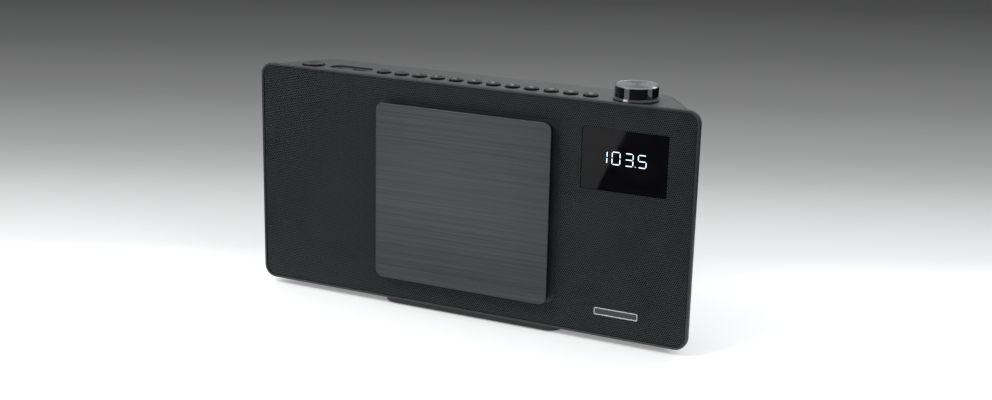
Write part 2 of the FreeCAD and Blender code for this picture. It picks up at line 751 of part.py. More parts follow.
def sled_screw():
    """Lead screw of the pickup."""
    piece("sled_screw", rod("1.5", "74.5", "bay_x - 80.5", behind("19.5"), "middle_z - 20.5", "X"))


# ---------------------------------------------------------------- sliding door

def door_skin():
    """Metal face plate of the door."""
    plate("door_skin", "door_width", "door_height", "door_skin", "door_radius", "0",
          behind("-door_proud"), "middle_z")


def door_backing():
    """Moulded carrier behind the face plate."""
    plate("door_backing", "door_width - 2 * backing_inset", "door_height - 2 * backing_inset",
          "door_backing", "door_radius - backing_inset", "0", behind("door_skin - door_proud"), "middle_z")


def door_sliders():
    """Two runners: a neck through each slot, and a block that slides on its rod."""
    back_of_door = "door_skin + door_backing - door_proud"
    runners = []
    for side, reach in (("-", (" - slider_outer", " + slider_inner")),
                        ("+", (" - slider_inner", " + slider_outer"))):
        level = "middle_z %s slot_rise" % side
        neck = box(("57", "68"), (behind(back_of_door), behind("7.5")), (level + " - 1.8", level + " + 1.8"))
        block = box(("slider_left", "slider_right"), (behind("7"), behind("13")),
                    (level + reach[0], level + reach[1]))
        bore = rod("rod_radius + running_gap", "60", "20", behind("rod_depth"), level, "X")
        runners.append(cut(join(neck, block), bore))
    piece("door_sliders", group(runners))


def door_rods():
    """Two steel rods that carry the runners."""
    piece("door_rods", group([rod("rod_radius", "182.7", "-104", behind("rod_depth"),
                                  "middle_z %s slot_rise" % side, "X") for side in "-+"]))


def gear_outline(teeth, module, phase, addendum, dedendum, backlash):
    """Involute gear outline about the origin in X-Z; one tooth points at the phase angle."""
    pitch_radius = module * teeth / 2
    base_radius = pitch_radius * math.cos(math.radians(20))
    root_radius = pitch_radius - dedendum * module
    tip_radius = pitch_radius + addendum * module
    half_at_pitch = math.pi / (2 * teeth) - backlash / (4 * pitch_radius)
    involute = math.tan(math.radians(20)) - math.radians(20)
    start = max(base_radius, root_radius)
    flank = []
    if root_radius < base_radius:
        flank.append((root_radius, half_at_pitch + involute))
    for step in range(5):
        radius = start + (tip_radius - start) * step / 4
        pressure = math.acos(min(1.0, base_radius / radius))
        flank.append((radius, half_at_pitch + involute - (math.tan(pressure) - pressure)))
    points = []
    for tooth in range(teeth):
        middle = math.radians(phase) + 2 * math.pi * tooth / teeth
        rising = [(radius, middle - half) for radius, half in flank]
        falling = [(radius, middle + half) for radius, half in reversed(flank)]
        points += [FreeCAD.Vector(radius * math.cos(angle), 0, radius * math.sin(angle))
                   for radius, angle in rising + falling]
    return points


def slab(points, y_low, y_high):
    """Solid between two depths, from an outline in X-Z."""
    wire = Part.makePolygon(points + points[:1])
    face = Part.Face(wire)
    face.translate(FreeCAD.Vector(0, y_low, 0))
    return face.extrude(FreeCAD.Vector(0, y_high - y_low, 0))


def turned(label, shape, x, y, z):
    """Sub-part with a shape of its own, set about the origin, then placed."""
    item = doc.addObject("Part::Feature", label)
    item.Shape = shape
    place(item, x, y, z)
    return piece(label, item)


def bored(shape, radius, y_low, y_high):
    """A shape with a hole along Y through the origin."""
    tool = Part.makeCylinder(radius, y_high - y_low, FreeCAD.Vector(0, y_low, 0), FreeCAD.Vector(0, 1, 0))
    return shape.cut(tool)


def door_rack():
    """Toothed bar under the lower runner; a gap stands over the pinion when the door is shut."""
    module = measure("rack_module")
    pitch = math.pi * module
    half_tooth = pitch / 4 - measure("backlash") / 4
    slope = math.tan(math.radians(20))
    tip = 0.6 * module
    root = 1.0 * module
    left = -3.0
    right = measure("door_travel") + 3.5
    points = [FreeCAD.Vector(left, 0, root)]
    for index in range(int((right - left) // pitch)):
        middle = left + pitch + index * pitch + (-left - pitch / 2) % pitch
        if middle + half_tooth + root * slope > right:
            break
        points += [FreeCAD.Vector(middle - half_tooth - root * slope, 0, root),
                   FreeCAD.Vector(middle - half_tooth + tip * slope, 0, -tip),
                   FreeCAD.Vector(middle + half_tooth - tip * slope, 0, -tip),
                   FreeCAD.Vector(middle + half_tooth + root * slope, 0, root)]
    points += [FreeCAD.Vector(right, 0, root), FreeCAD.Vector(right, 0, 2.5), FreeCAD.Vector(left, 0, 2.5)]
    turned("door_rack", slab(points, 8, 12), "gear_x", "front_y", "rack_pitch_z")


def door_gear():
    """Compound wheel: the pinion under the rack, and the larger wheel that the motor drives."""
    backlash = measure("backlash")
    pinion = slab(gear_outline(int(measure("pinion_teeth")), measure("rack_module"), 90, 0.9, 1.2, backlash),
                  7.6, 12.4)
    hub = Part.makeCylinder(3.6, 1.2, FreeCAD.Vector(0, 12.4, 0), FreeCAD.Vector(0, 1, 0))
    wheel = slab(gear_outline(int(measure("wheel_teeth")), measure("wheel_module"), 180, 0.7, 1.2, backlash),
                 13.6, 16.6)
    bore = 1.5 + measure("running_gap")
    turned("door_gear", bored(pinion.fuse(hub).fuse(wheel), bore, 7, 17), "gear_x", "front_y", "gear_z")


def motor_gear():
    """Small gear on the motor's shaft; a gap faces the wheel."""
    teeth = int(measure("motor_teeth"))
    shape = slab(gear_outline(teeth, measure("wheel_module"), 180 / teeth, 0.7, 1.2, measure("backlash")),
                 13.4, 16.8)
    shaft = Part.makeCylinder(1, 15, FreeCAD.Vector(0, 13.4, 0), FreeCAD.Vector(0, 1, 0))
    turned("motor_gear", shape.fuse(shaft), "gear_x - wheel_module * (wheel_teeth + motor_teeth) / 2",
           "front_y", "gear_z")


def door_motor():
    """Can motor that opens the door."""
    centre = "gear_x - wheel_module * (wheel_teeth + motor_teeth) / 2"
    can = rod("7.8", "17.5", centre, behind("18.3"), "gear_z", "Y")
    bore = rod("1 + running_gap", "11", centre, behind("18"), "gear_z", "Y")
    piece("door_motor", cut(can, bore))


def motor_bracket():
    """Plate on two posts that carries the motor and the end of the gear's pin."""
    strip = box(("gear_x - 26", "gear_x + 17"), (behind("17.3"), behind("18.3")),
                ("gear_z - 6", "gear_z + 6"))
    pin_hole = rod("1.5", "2", "gear_x", behind("17"), "gear_z", "Y")
    shaft_hole = rod("2.5", "2", "gear_x - wheel_module * (wheel_teeth + motor_teeth) / 2", behind("17"),
                     "gear_z", "Y")
    piece("motor_bracket", cut(strip, pin_hole, shaft_hole))


# ---------------------------------------------------------------- loudspeakers

def speaker_parts(label, corners):
    """The same turned part for the left and the right loudspeaker."""
    sides = []
    for name, x in (("left", "-speaker_x"), ("right", "speaker_x")):
        body = new_body("%s_%s" % (name, label), x, "front_y", "speaker_z")
        revolve(body, corners)
        pieces.remove(body)
        sides.append(body)
    piece(label, group(sides))


def loudspeakers():
    """Baskets, magnets, cones with their dust caps, and foam surrounds."""
    speaker_parts("speaker_baskets", [
        ("30.4", "frame_depth"), ("speaker_radius", "frame_depth"), ("speaker_radius", "frame_depth + 1.2"),
        ("31", "frame_depth + 2"), ("20", "20"), ("20", "21.5"), ("4", "21.5"), ("4", "20.3"),
        ("18.6", "20.3"), ("29.4", "frame_depth + 2"), ("30.4", "frame_depth + 1")])
    speaker_parts("speaker_magnets", [("0", "21.5"), ("20", "21.5"), ("20", "33"), ("0", "33")])
    speaker_parts("speaker_cones", [
        ("0", "10.4"), ("5", "11.2"), ("8.6", "13.4"), ("23.6", "6"), ("24", "6.6"), ("8.6", "14.4"),
        ("8", "18.4"), ("7.4", "18.4"), ("7.4", "14"), ("4", "12.2"), ("0", "11.4")])
    speaker_parts("speaker_surrounds", [
        ("24.1", "5.9"), ("25.5", "4.7"), ("27.5", "4.3"), ("29.2", "4.7"), ("29.9", "5.4"),
        ("29.2", "5.9"), ("27.5", "5"), ("25.8", "5.4"), ("24.7", "6.5")])


# ---------------------------------------------------------------- boards and sockets

def main_board():
    """Amplifier and tuner board on the cover's posts."""
    board = box(("-70", "80"), (behind("43"), behind("44.6")), ("50", "140"))
    holes = [rod("1.3", "3", x, behind("42.5"), z, "Y") for x, z in BOARD_POSTS]
    piece("main_board", cut(board, *holes))


def board_parts():
    """Tall components on the main board: capacitors, tuner can and heat sink."""
    capacitors = [rod("4", "9", "%d" % x, behind("34"), "66", "Y") for x in (-40, -28, -16)]
    tuner_can = box(("40", "64"), (behind("38"), behind("43")), ("104", "124"))
    heat_sink = box(("-52", "-24"), (behind("35"), behind("43")), ("118", "122"))
    chip = box(("-4", "16"), (behind("40.6"), behind("43")), ("120", "134"))
    piece("board_parts", group(capacitors + [tuner_can, heat_sink, chip]))


def top_board():
    """Long board under the buttons, cut out for the two sockets."""
    board = box(("-156", "142"), (behind("5"), behind("30")), ("board_top - board", "board_top"))
    usb_gap = box(("usb_x - 7", "usb_x + 7"), (behind("recess_depth_y - 3.3"), behind("recess_depth_y + 3.3")),
                  ("board_top - 3", "board_top + 1"))
    jack_gap = rod("4.2", "4", "jack_x", behind("recess_depth_y"), "board_top - 3")
    piece("top_board", cut(board, usb_gap, jack_gap))


def button_centres():
    """X of each small button."""
    return ["button_first + %d * button_pitch" % index for index in range(int(measure("button_count")))]


def tact_switches():
    """A small switch under every button."""
    switches = []
    for x in button_centres() + ["power_x"]:
        case = box((x + " - 3", x + " + 3"), (behind("button_depth - 3"), behind("button_depth + 3")),
                   ("board_top", "board_top + 3.5"))
        plunger = rod("1.7", "1", x, behind("button_depth"), "board_top + 3.3")
        switches.append(join(case, plunger))
    piece("tact_switches", group(switches))


def encoder():
    """Rotary encoder under the knob, with a bush through the cover."""
    case = box(("knob_x - 6", "knob_x + 6"), (behind("knob_depth - 6"), behind("knob_depth + 6")),
               ("board_top", "board_top + 6.5"))
    bush = rod("4.5", "6", "knob_x", behind("knob_depth"), "board_top + 4")
    bore = rod("3 + running_gap", "9", "knob_x", behind("knob_depth"), "board_top + 2")
    piece("encoder", cut(join(case, bush), bore))


def usb_socket():
    """USB-A receptacle that faces up out of the recess, with its tongue."""
    top = "top_z - recess_sink"
    shell = box(("usb_x - 6.6", "usb_x + 6.6"),
                (behind("recess_depth_y - 2.9"), behind("recess_depth_y + 2.9")), (top + " - 14", top))
    hollow = box(("usb_x - 6.25", "usb_x + 6.25"),
                 (behind("recess_depth_y - 2.55"), behind("recess_depth_y + 2.55")),
                 (top + " - 12", top + " + 1"))
    tongue = box(("usb_x - 5.55", "usb_x + 5.55"),
                 (behind("recess_depth_y - 0.05"), behind("recess_depth_y + 1.8")),
                 (top + " - 12.5", top + " - 1"))
    piece("usb_socket", join(cut(shell, hollow), tongue))


def aux_jack():
    """Jack for a 3.5 mm plug that faces up out of the recess."""
    top = "top_z - recess_sink"
    case = rod("4", "11", "jack_x", behind("recess_depth_y"), top + " - 14")
    nose = rod("3", "4", "jack_x", behind("recess_depth_y"), top + " - 4")
    bore = rod("1.8", "13", "jack_x", behind("recess_depth_y"), top + " - 12")
    piece("aux_jack", cut(join(case, nose), bore))


def dc_socket():
    """Barrel inlet on the main board, flush with the back."""
    case = box(("51.4", "60.6"), (behind("44.6"), behind("53.6")), ("52", "63"))
    bore = rod("2.8", "9", "56", behind("45.6"), "57.5", "Y")
    pin = rod("1", "8", "56", behind("45"), "57.5", "Y")
    piece("dc_socket", join(cut(case, bore), pin))


def antenna_bush():
    """Rubber bush in the back, where an aerial wire would leave."""
    sleeve = rod("2.9", "4.4", "40", behind("depth - 4.4"), "57.5", "Y")
    bore = rod("1", "6", "40", behind("depth - 5"), "57.5", "Y")
    piece("antenna_bush", cut(sleeve, bore))


# ---------------------------------------------------------------- controls

def button(label, x, radius):
    """Dished cap with a retaining rim under the cover and a stem over its switch."""
    wall_under = "top_z - wall"
    body = new_body(label, x, behind("button_depth"), "0")
    revolve(body, [("0", "board_top + 5.1"), ("1.6", "board_top + 5.1"), ("1.6", wall_under + " - 1.4"),
                   (radius + " + 1", wall_under + " - 1.4"), (radius + " + 1", wall_under + " - 0.4"),
                   (radius, wall_under + " - 0.4"), (radius, "top_z + button_proud - 0.5"),
                   (radius + " - 0.5", "top_z + button_proud"), (radius + " - 1.6", "top_z + button_proud"),
                   ("0", "top_z + button_proud - 0.7")], "XZ_Plane")


def buttons():
    """Twelve small buttons and the larger power button."""
    for number, x in enumerate(button_centres(), start=1):
        button("button_%02d" % number, x, "button_radius")
    button("power_button", "power_x", "power_radius")


def knob():
    """Flared skirt and straight body, hollow under the top for the shaft."""
    base = "top_z + 0.4"
    top = "top_z + knob_height - 1.2"
    body = new_body("knob", "knob_x", behind("knob_depth"), "0")
    revolve(body, [("3", base), ("knob_skirt", base), ("knob_skirt", base + " + 0.8"),
                   ("knob_radius", base + " + 2.2"), ("knob_radius", top), ("3", top)], "XZ_Plane")


def knob_cap():
    """Turned metal cap with a bright chamfer."""
    low = "top_z + knob_height - 1.2"
    body = new_body("knob_cap", "knob_x", behind("knob_depth"), "0")
    revolve(body, [("0", low), ("knob_radius", low), ("knob_radius", low + " + 0.3"),
                   ("knob_radius - 0.9", low + " + 1.2"), ("0", low + " + 1.2")], "XZ_Plane")


def encoder_shaft():
    """Shaft of the encoder, pressed into the knob."""
    piece("encoder_shaft", rod("3", "top_z + knob_height - 1.2 - board_top - 3", "knob_x",
                               behind("knob_depth"), "board_top + 3"))


# ---------------------------------------------------------------- screws

def screw(x, y, z, length, along):
    """Screw whose head starts at a point and whose shank runs on along the axis."""
    if along == "-Y":
        head = rod("screw_head", "1.8", x, "%s - 1.8" % y, z, "Y")
        shank = rod("screw_radius", length, x, "%s - (%s)" % (y, length), z, "Y")
        return join(head, shank)
    head = rod("screw_head", "1.8", x, y, z, along)
    shank = rod("screw_radius", length, x, y, z, along)
    return join(head, shank)


def screws():
    """Six long screws that hold the cover, and four short ones that hold the foot."""
    long_screws = [screw(x, behind("depth - 3.2"), z, "depth - 3.2 - frame_depth - 2.5", "-Y")
                   for x, z in COVER_SCREWS]
    short_screws = [screw(x, behind(y), "pad_height + 0.2", "9", "Z") for x, y in FOOT_SCREWS]
    piece("case_screws", group(long_screws + short_screws))


# ---------------------------------------------------------------- whole radio

def build():
    """Make every sub-part."""
    front_frame()
    grille()
    grille_cloth()
    rear_cover()
    foot()
    foot_pads()
    display_window()
    display_module()
    badge()
    cd_bay()
    mech_plate()
    mech_dampers()
    spindle_motor()
    turntable()
    clamp_balls()
    spindle_shaft()
    pickup()
    pickup_lens()
    pickup_rods()
    sled_motor()
    sled_screw()
    door_skin()
    door_backing()
    door_sliders()
    door_rods()
    door_rack()
    door_gear()
    motor_gear()
    door_motor()
    motor_bracket()
    loudspeakers()
    main_board()
    board_parts()
    top_board()
    tact_switches()
    encoder()
    usb_socket()
    aux_jack()
    dc_socket()
    antenna_bush()
    buttons()
    knob()
    knob_cap()
    encoder_shaft()
    screws()
    doc.recompute()


def check():
    """Stop if any object failed or any sub-part is not a sound solid."""
    for item in doc.Objects:
        if "Invalid" in item.State or "Error" in item.State:
            raise RuntimeError("%s failed: %s" % (item.Label, item.State))
    for item in pieces:
        if item.Shape.isNull() or not item.Shape.isValid() or not item.Shape.Solids:
            raise RuntimeError("%s is not a sound solid" % item.Label)


def write():
    """Write each sub-part to its own file."""
    os.makedirs("parts", exist_ok=True)
    for item in pieces:
        item.Shape.exportStep("parts/%s.step" % item.Label)
        print("%-20s %2d solid  %9.1f mm3" % (item.Label, len(item.Shape.Solids), item.Shape.Volume))


build()
check()
write()
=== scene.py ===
"""Looks of the tabletop radio: a slim upright radio with a sliding disc door.

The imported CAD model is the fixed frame. This script gives every part its finish, builds
the perforated grille, the door panel, the lit digits, the badge, the knob's cap and the
screws in detail, and sets the studio. Lengths are in metres: +X is the radio's right as
seen from the front, +Y its back, +Z up, with the origin on the table under its middle.
"""

import json
import logging
import math
from collections.abc import Callable
from dataclasses import dataclass, field
from enum import Enum

import bmesh
import bpy
from mathutils import Euler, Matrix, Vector


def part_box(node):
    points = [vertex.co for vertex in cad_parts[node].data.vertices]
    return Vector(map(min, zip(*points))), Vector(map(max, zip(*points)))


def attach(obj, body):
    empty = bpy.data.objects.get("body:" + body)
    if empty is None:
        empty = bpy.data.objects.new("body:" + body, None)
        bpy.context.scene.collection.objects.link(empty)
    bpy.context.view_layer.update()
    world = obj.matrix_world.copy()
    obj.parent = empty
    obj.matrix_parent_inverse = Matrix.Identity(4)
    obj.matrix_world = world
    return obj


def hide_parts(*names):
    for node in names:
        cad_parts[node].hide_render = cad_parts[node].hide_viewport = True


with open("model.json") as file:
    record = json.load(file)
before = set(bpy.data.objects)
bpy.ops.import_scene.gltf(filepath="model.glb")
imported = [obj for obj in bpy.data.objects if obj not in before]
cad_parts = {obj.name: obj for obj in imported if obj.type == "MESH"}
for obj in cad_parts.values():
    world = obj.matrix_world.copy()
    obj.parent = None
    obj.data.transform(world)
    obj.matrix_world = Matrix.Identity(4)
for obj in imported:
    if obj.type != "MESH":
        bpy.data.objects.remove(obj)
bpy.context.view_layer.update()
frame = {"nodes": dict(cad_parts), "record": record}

MM = 0.001
CABINET = "cabinet"
WELD = 0.004 * MM

Colour = tuple[float, float, float]
Point = tuple[float, float]
Socket = bpy.types.NodeSocket
Pattern = tuple[Socket, Socket, Socket]

log = logging.getLogger("radio")


# ------------------------------------------------------------------ node wiring

class Wiring:
    """Adds nodes to one node tree and joins them."""

    def __init__(self, tree: bpy.types.NodeTree) -> None:
        """Keep the tree to work on."""
        self.tree = tree

    def add(self, kind: str, inputs: dict | None = None, **settings: object) -> bpy.types.Node:
        """Add a node.

        Args:
            kind: Blender's type name of the node.
            inputs: constants or output sockets for its inputs, by name or index.
            settings: properties of the node itself.

        Returns:
            The new node.
        """
        node = self.tree.nodes.new(kind)
        for name, value in settings.items():
            setattr(node, name, value)
        for key, value in (inputs or {}).items():
            if isinstance(value, Socket):
                self.tree.links.new(value, node.inputs[key])
            else:
                node.inputs[key].default_value = value
        return node

    def maths(self, operation: str, *values: object) -> Socket:
        """Result of a Math node on two or three numbers or sockets.

        Args:
            operation: Blender's name of the operation.
            values: the numbers or sockets, in order.

        Returns:
            The result's socket.
        """
        kind = "ShaderNodeMath"
        return self.add(kind, dict(enumerate(values)), operation=operation).outputs[0]

    def spread(self, value: Socket, low: float, high: float,
               start: float = 0.0, end: float = 1.0) -> Socket:
        """Map a value linearly.

        Args:
            value: the value to map.
            low: result at the start.
            high: result at the end.
            start: value at the start.
            end: value at the end.

        Returns:
            The result's socket.
        """
        inputs = {"Value": value, "From Min": start, "From Max": end, "To Min": low, "To Max": high}
        return self.add("ShaderNodeMapRange", inputs).outputs["Result"]


def new_group(name: str, kind: str, takes: dict[str, str], gives: dict[str, str]
              ) -> tuple[Wiring, bpy.types.Node, bpy.types.Node]:
    """Start a node group.

    Args:
        name: name of the group.
        kind: type of its tree.
        takes: inputs, each name with its socket type.
        gives: outputs, each name with its socket type.

    Returns:
        The wiring of the group, its input node and its output node.
    """
    tree = bpy.data.node_groups.new(name, kind)
    for direction, sockets in (("INPUT", takes), ("OUTPUT", gives)):
        for label, socket in sockets.items():
            tree.interface.new_socket(label, in_out=direction, socket_type="NodeSocket" + socket)
    wiring = Wiring(tree)
    return wiring, wiring.add("NodeGroupInput"), wiring.add("NodeGroupOutput")


# ------------------------------------------------------------------ surface patterns

class Surface(Enum):
    """How a finish is textured. Each value names its shader group."""

    MOULDED = "moulded grain"
    BRUSHED = "brushed lines"
    SPUN = "spun rings"
    POLISHED = "polished smears"
    WOVEN = "woven threads"
    CAST = "cast pits"


class PatternShop:
    """Builds the shader groups, each of them once."""

    TAKES = {"Vector": "Vector", "Scale": "Float"}
    GIVES = {"Shade": "Float", "Rough": "Float", "Height": "Float"}

    def __init__(self) -> None:
        """Build one group for each kind of surface, and the dust that all share."""
        makers = {Surface.MOULDED: self._moulded, Surface.BRUSHED: self._brushed,
                  Surface.SPUN: self._spun, Surface.POLISHED: self._polished,
                  Surface.WOVEN: self._woven, Surface.CAST: self._cast}
        self.groups = {kind: self._group(kind, maker) for kind, maker in makers.items()}
        self.dust = self._dust()

    def _group(self, kind: Surface, maker: Callable[[Wiring, Socket, Socket], Pattern]
               ) -> bpy.types.NodeTree:
        """Make the group of one surface.

        Args:
            kind: the surface.
            maker: the method that returns the group's three outputs.

        Returns:
            The group.
        """
        wiring, given, out = new_group(kind.value, "ShaderNodeTree", self.TAKES, self.GIVES)
        results = maker(wiring, given.outputs["Vector"], given.outputs["Scale"])
        for label, socket in zip(self.GIVES, results):
            wiring.tree.links.new(socket, out.inputs[label])
        return wiring.tree

    @staticmethod
    def _noise(wiring: Wiring, vector: Socket, scale: Socket, detail: float = 2.0,
               rough: float = 0.5, distortion: float = 0.0) -> Socket:
        """Value of a noise texture.

        Args:
            wiring: the group's wiring.
            vector: where the texture is read.
            scale: its scale.
            detail: how many finer layers it has.
            rough: how strong the finer layers are.
            distortion: how far it is warped.

        Returns:
            The texture's value.
        """
        inputs = {"Vector": vector, "Scale": scale, "Detail": detail, "Roughness": rough,
                  "Distortion": distortion}
        return wiring.add("ShaderNodeTexNoise", inputs).outputs[0]

    def _moulded(self, wiring: Wiring, vector: Socket, scale: Socket) -> Pattern:
        """Fine even grain of a spark-eroded mould, with faint large blotches.

        Args:
            wiring: the group's wiring.
            vector: where the pattern is read.
            scale: its scale.

        Returns:
            The shade, the roughness and the height.
        """
        fine = self._noise(wiring, vector, scale, 3.0, 0.6)
        blotch = self._noise(wiring, vector, wiring.maths("MULTIPLY", scale, 0.02), 3.0)
        mixed = wiring.maths("MULTIPLY_ADD", fine, 0.55, wiring.maths("MULTIPLY", blotch, 0.45))
        shade = wiring.spread(mixed, 0.0, 1.0, 0.3, 0.7)
        return shade, wiring.spread(blotch, 0.0, 1.0, 0.3, 0.7), fine

    def _brushed(self, wiring: Wiring, vector: Socket, scale: Socket) -> Pattern:
        """Long parallel scratches of several widths, along local X.

        Args:
            wiring: the group's wiring.
            vector: where the pattern is read.
            scale: its scale.

        Returns:
            The shade, the roughness and the height.
        """
        stretched = wiring.add("ShaderNodeMapping", {"Vector": vector, "Scale": (0.006, 1.0, 1.0)},
                               vector_type="POINT").outputs[0]
        broad = self._noise(wiring, stretched, wiring.maths("MULTIPLY", scale, 0.16), 4.0, 0.6)
        hair = self._noise(wiring, stretched, scale, 3.0, 0.75)
        mixed = wiring.maths("MULTIPLY_ADD", hair, 0.6, wiring.maths("MULTIPLY", broad, 0.4))
        shade = wiring.spread(mixed, 0.0, 1.0, 0.33, 0.67)
        return shade, wiring.spread(hair, 0.0, 1.0, 0.3, 0.7), hair

    def _spun(self, wiring: Wiring, vector: Socket, scale: Socket) -> Pattern:
        """Fine turning marks in rings about local Z.

        Args:
            wiring: the group's wiring.
            vector: where the pattern is read.
            scale: its scale.

        Returns:
            The shade, the roughness and the height.
        """
        flat = wiring.add("ShaderNodeVectorMath", {0: vector, 1: (1.0, 1.0, 0.0)},
                          operation="MULTIPLY").outputs["Vector"]
        radius = wiring.add("ShaderNodeVectorMath", {0: flat}, operation="LENGTH").outputs["Value"]
        ring = wiring.add("ShaderNodeTexNoise", {"W": radius, "Scale": scale, "Detail": 3.0,
                          "Roughness": 0.7}, noise_dimensions="1D").outputs[0]
        smear = self._noise(wiring, vector, wiring.maths("MULTIPLY", scale, 0.05))
        return wiring.spread(ring, 0.0, 1.0, 0.3, 0.7), smear, ring

    def _polished(self, wiring: Wiring, vector: Socket, scale: Socket) -> Pattern:
        """Gloss with faint wiping smears and very fine scratches.

        Args:
            wiring: the group's wiring.
            vector: where the pattern is read.
            scale: its scale.

        Returns:
            The shade, the roughness and the height.
        """
        smear = self._noise(wiring, vector, wiring.maths("MULTIPLY", scale, 0.03), 4.0, 0.6, 1.4)
        scratch = self._noise(wiring, vector, scale, 5.0, 0.8, 0.6)
        wiped = wiring.maths("MULTIPLY", wiring.spread(smear, 0.0, 1.0, 0.35, 0.75), scratch)
        return wiring.spread(smear, 0.0, 1.0, 0.3, 0.7), wiring.maths("MULTIPLY", wiped, 1.6), smear

    def _woven(self, wiring: Wiring, vector: Socket, scale: Socket) -> Pattern:
        """Over-and-under threads in the local XZ plane.

        Args:
            wiring: the group's wiring.
            vector: where the pattern is read.
            scale: its scale.

        Returns:
            The shade, the roughness and the height.
        """
        turned = wiring.add("ShaderNodeSeparateXYZ", {0: vector})
        across = wiring.maths("SINE", wiring.maths("MULTIPLY", turned.outputs[0], scale))
        along = wiring.maths("SINE", wiring.maths("MULTIPLY", turned.outputs[2], scale))
        weave = wiring.spread(wiring.maths("MULTIPLY", across, along), 0.0, 1.0, -1.0, 1.0)
        fuzz = self._noise(wiring, vector, wiring.maths("MULTIPLY", scale, 0.7), 4.0, 0.7)
        height = wiring.maths("MULTIPLY_ADD", fuzz, 0.3, wiring.maths("MULTIPLY", weave, 0.7))
        return height, fuzz, height

    def _cast(self, wiring: Wiring, vector: Socket, scale: Socket) -> Pattern:
        """Coarse mottled surface of pressed, cast or pulp material.

        Args:
            wiring: the group's wiring.
            vector: where the pattern is read.
            scale: its scale.

        Returns:
            The shade, the roughness and the height.
        """
        lumps = self._noise(wiring, vector, wiring.maths("MULTIPLY", scale, 0.3), 5.0, 0.65)
        pits = wiring.add("ShaderNodeTexVoronoi", {"Vector": vector, "Scale": scale}).outputs[0]
        height = wiring.maths("MULTIPLY_ADD", pits, 0.5, wiring.maths("MULTIPLY", lumps, 0.5))
        return wiring.spread(lumps, 0.0, 1.0, 0.3, 0.7), wiring.spread(pits, 0.2, 1.0), height

    @staticmethod
    def _dust() -> bpy.types.NodeTree:
        """Build the mask of thin dust that settles on faces that look up.

        Returns:
            The group.
        """
        wiring, given, out = new_group("settled dust", "ShaderNodeTree", PatternShop.TAKES,
                                       {"Mask": "Float"})
        facing = wiring.add("ShaderNodeNewGeometry").outputs["Normal"]
        up = wiring.add("ShaderNodeSeparateXYZ", {0: facing}).outputs[2]
        specks = PatternShop._noise(wiring, given.outputs["Vector"], given.outputs["Scale"], 6.0,
                                    0.7)
        drift = PatternShop._noise(wiring, given.outputs["Vector"],
                                   wiring.maths("MULTIPLY", given.outputs["Scale"], 0.02), 3.0)
        amount = wiring.maths("MULTIPLY", wiring.spread(specks, 0.0, 1.0, 0.5, 0.72),
                              wiring.spread(drift, 0.2, 1.0, 0.35, 0.65))
        mask = wiring.maths("MULTIPLY", amount, wiring.spread(up, 0.0, 1.0, 0.3, 0.95))
        wiring.tree.links.new(mask, out.inputs["Mask"])
        return wiring.tree


# ------------------------------------------------------------------ finishes

@dataclass(frozen=True)
class Finish:
    """One finish: its two tones, its gloss range and its surface pattern."""

    name: str
    dark: Colour
    light: Colour
    rough: tuple[float, float]
    surface: Surface = Surface.MOULDED
    scale: float = 2500.0
    metallic: float = 0.0
    coat: float = 0.0
    specular: float = 0.5
    bump: float = 0.15
    relief: float = 0.02 * MM
    edge: float = 0.0
    dust: float = 0.12
    anisotropy: float = 0.0
    centre: tuple[float, float, float] = (0.0, 0.0, 0.0)

    DUST_COLOUR = (0.30, 0.29, 0.27, 1.0)
    DUST_SCALE = 900.0

    def make(self, shop: PatternShop) -> bpy.types.Material:
        """Build the material.

        Args:
            shop: the shader groups to use.

        Returns:
            The new material, on Object coordinates.
        """
        material = bpy.data.materials.new(self.name)
        material.use_nodes = True
        wiring = Wiring(material.node_tree)
        shader = material.node_tree.nodes["Principled BSDF"]
        place = wiring.add("ShaderNodeTexCoord").outputs["Object"]
        moved = wiring.add("ShaderNodeMapping", {"Vector": place, "Location": self.centre})
        pattern = wiring.add("ShaderNodeGroup", node_tree=shop.groups[self.surface])
        wiring.tree.links.new(moved.outputs[0], pattern.inputs["Vector"])
        pattern.inputs["Scale"].default_value = self.scale
        dust = wiring.add("ShaderNodeGroup", node_tree=shop.dust)
        wiring.tree.links.new(place, dust.inputs["Vector"])
        dust.inputs["Scale"].default_value = self.DUST_SCALE
        speck = wiring.maths("MULTIPLY", dust.outputs["Mask"], self.dust)
        tone = wiring.add("ShaderNodeMix", {0: pattern.outputs["Shade"], 6: (*self.dark, 1.0),
                                            7: (*self.light, 1.0)}, data_type="RGBA").outputs[2]
        dusty = wiring.add("ShaderNodeMix", {0: speck, 6: tone, 7: self.DUST_COLOUR},
                           data_type="RGBA").outputs[2]
        gloss = wiring.spread(pattern.outputs["Rough"], *self.rough)
        matted = wiring.maths("ADD", gloss, wiring.maths("MULTIPLY", speck, 0.5))
        bump = wiring.add("ShaderNodeBump", {"Strength": self.bump, "Distance": self.relief,
                                             "Height": pattern.outputs["Height"]})
        if self.edge:
            rounded = wiring.add("ShaderNodeBevel", {"Radius": self.edge}, samples=6)
            wiring.tree.links.new(rounded.outputs[0], bump.inputs["Normal"])
        for socket, source in (("Base Color", dusty), ("Roughness", matted),
                               ("Normal", bump.outputs[0])):
            wiring.tree.links.new(source, shader.inputs[socket])
        constants = {"Metallic": self.metallic, "Coat Weight": self.coat, "Coat Roughness": 0.05,
                     "Specular IOR Level": self.specular, "Anisotropic": self.anisotropy}
        for socket, value in constants.items():
            shader.inputs[socket].default_value = value
        if self.anisotropy:
            lay = wiring.add("ShaderNodeTangent", direction_type="RADIAL", axis="Z")
            wiring.tree.links.new(lay.outputs[0], shader.inputs["Tangent"])
        return material


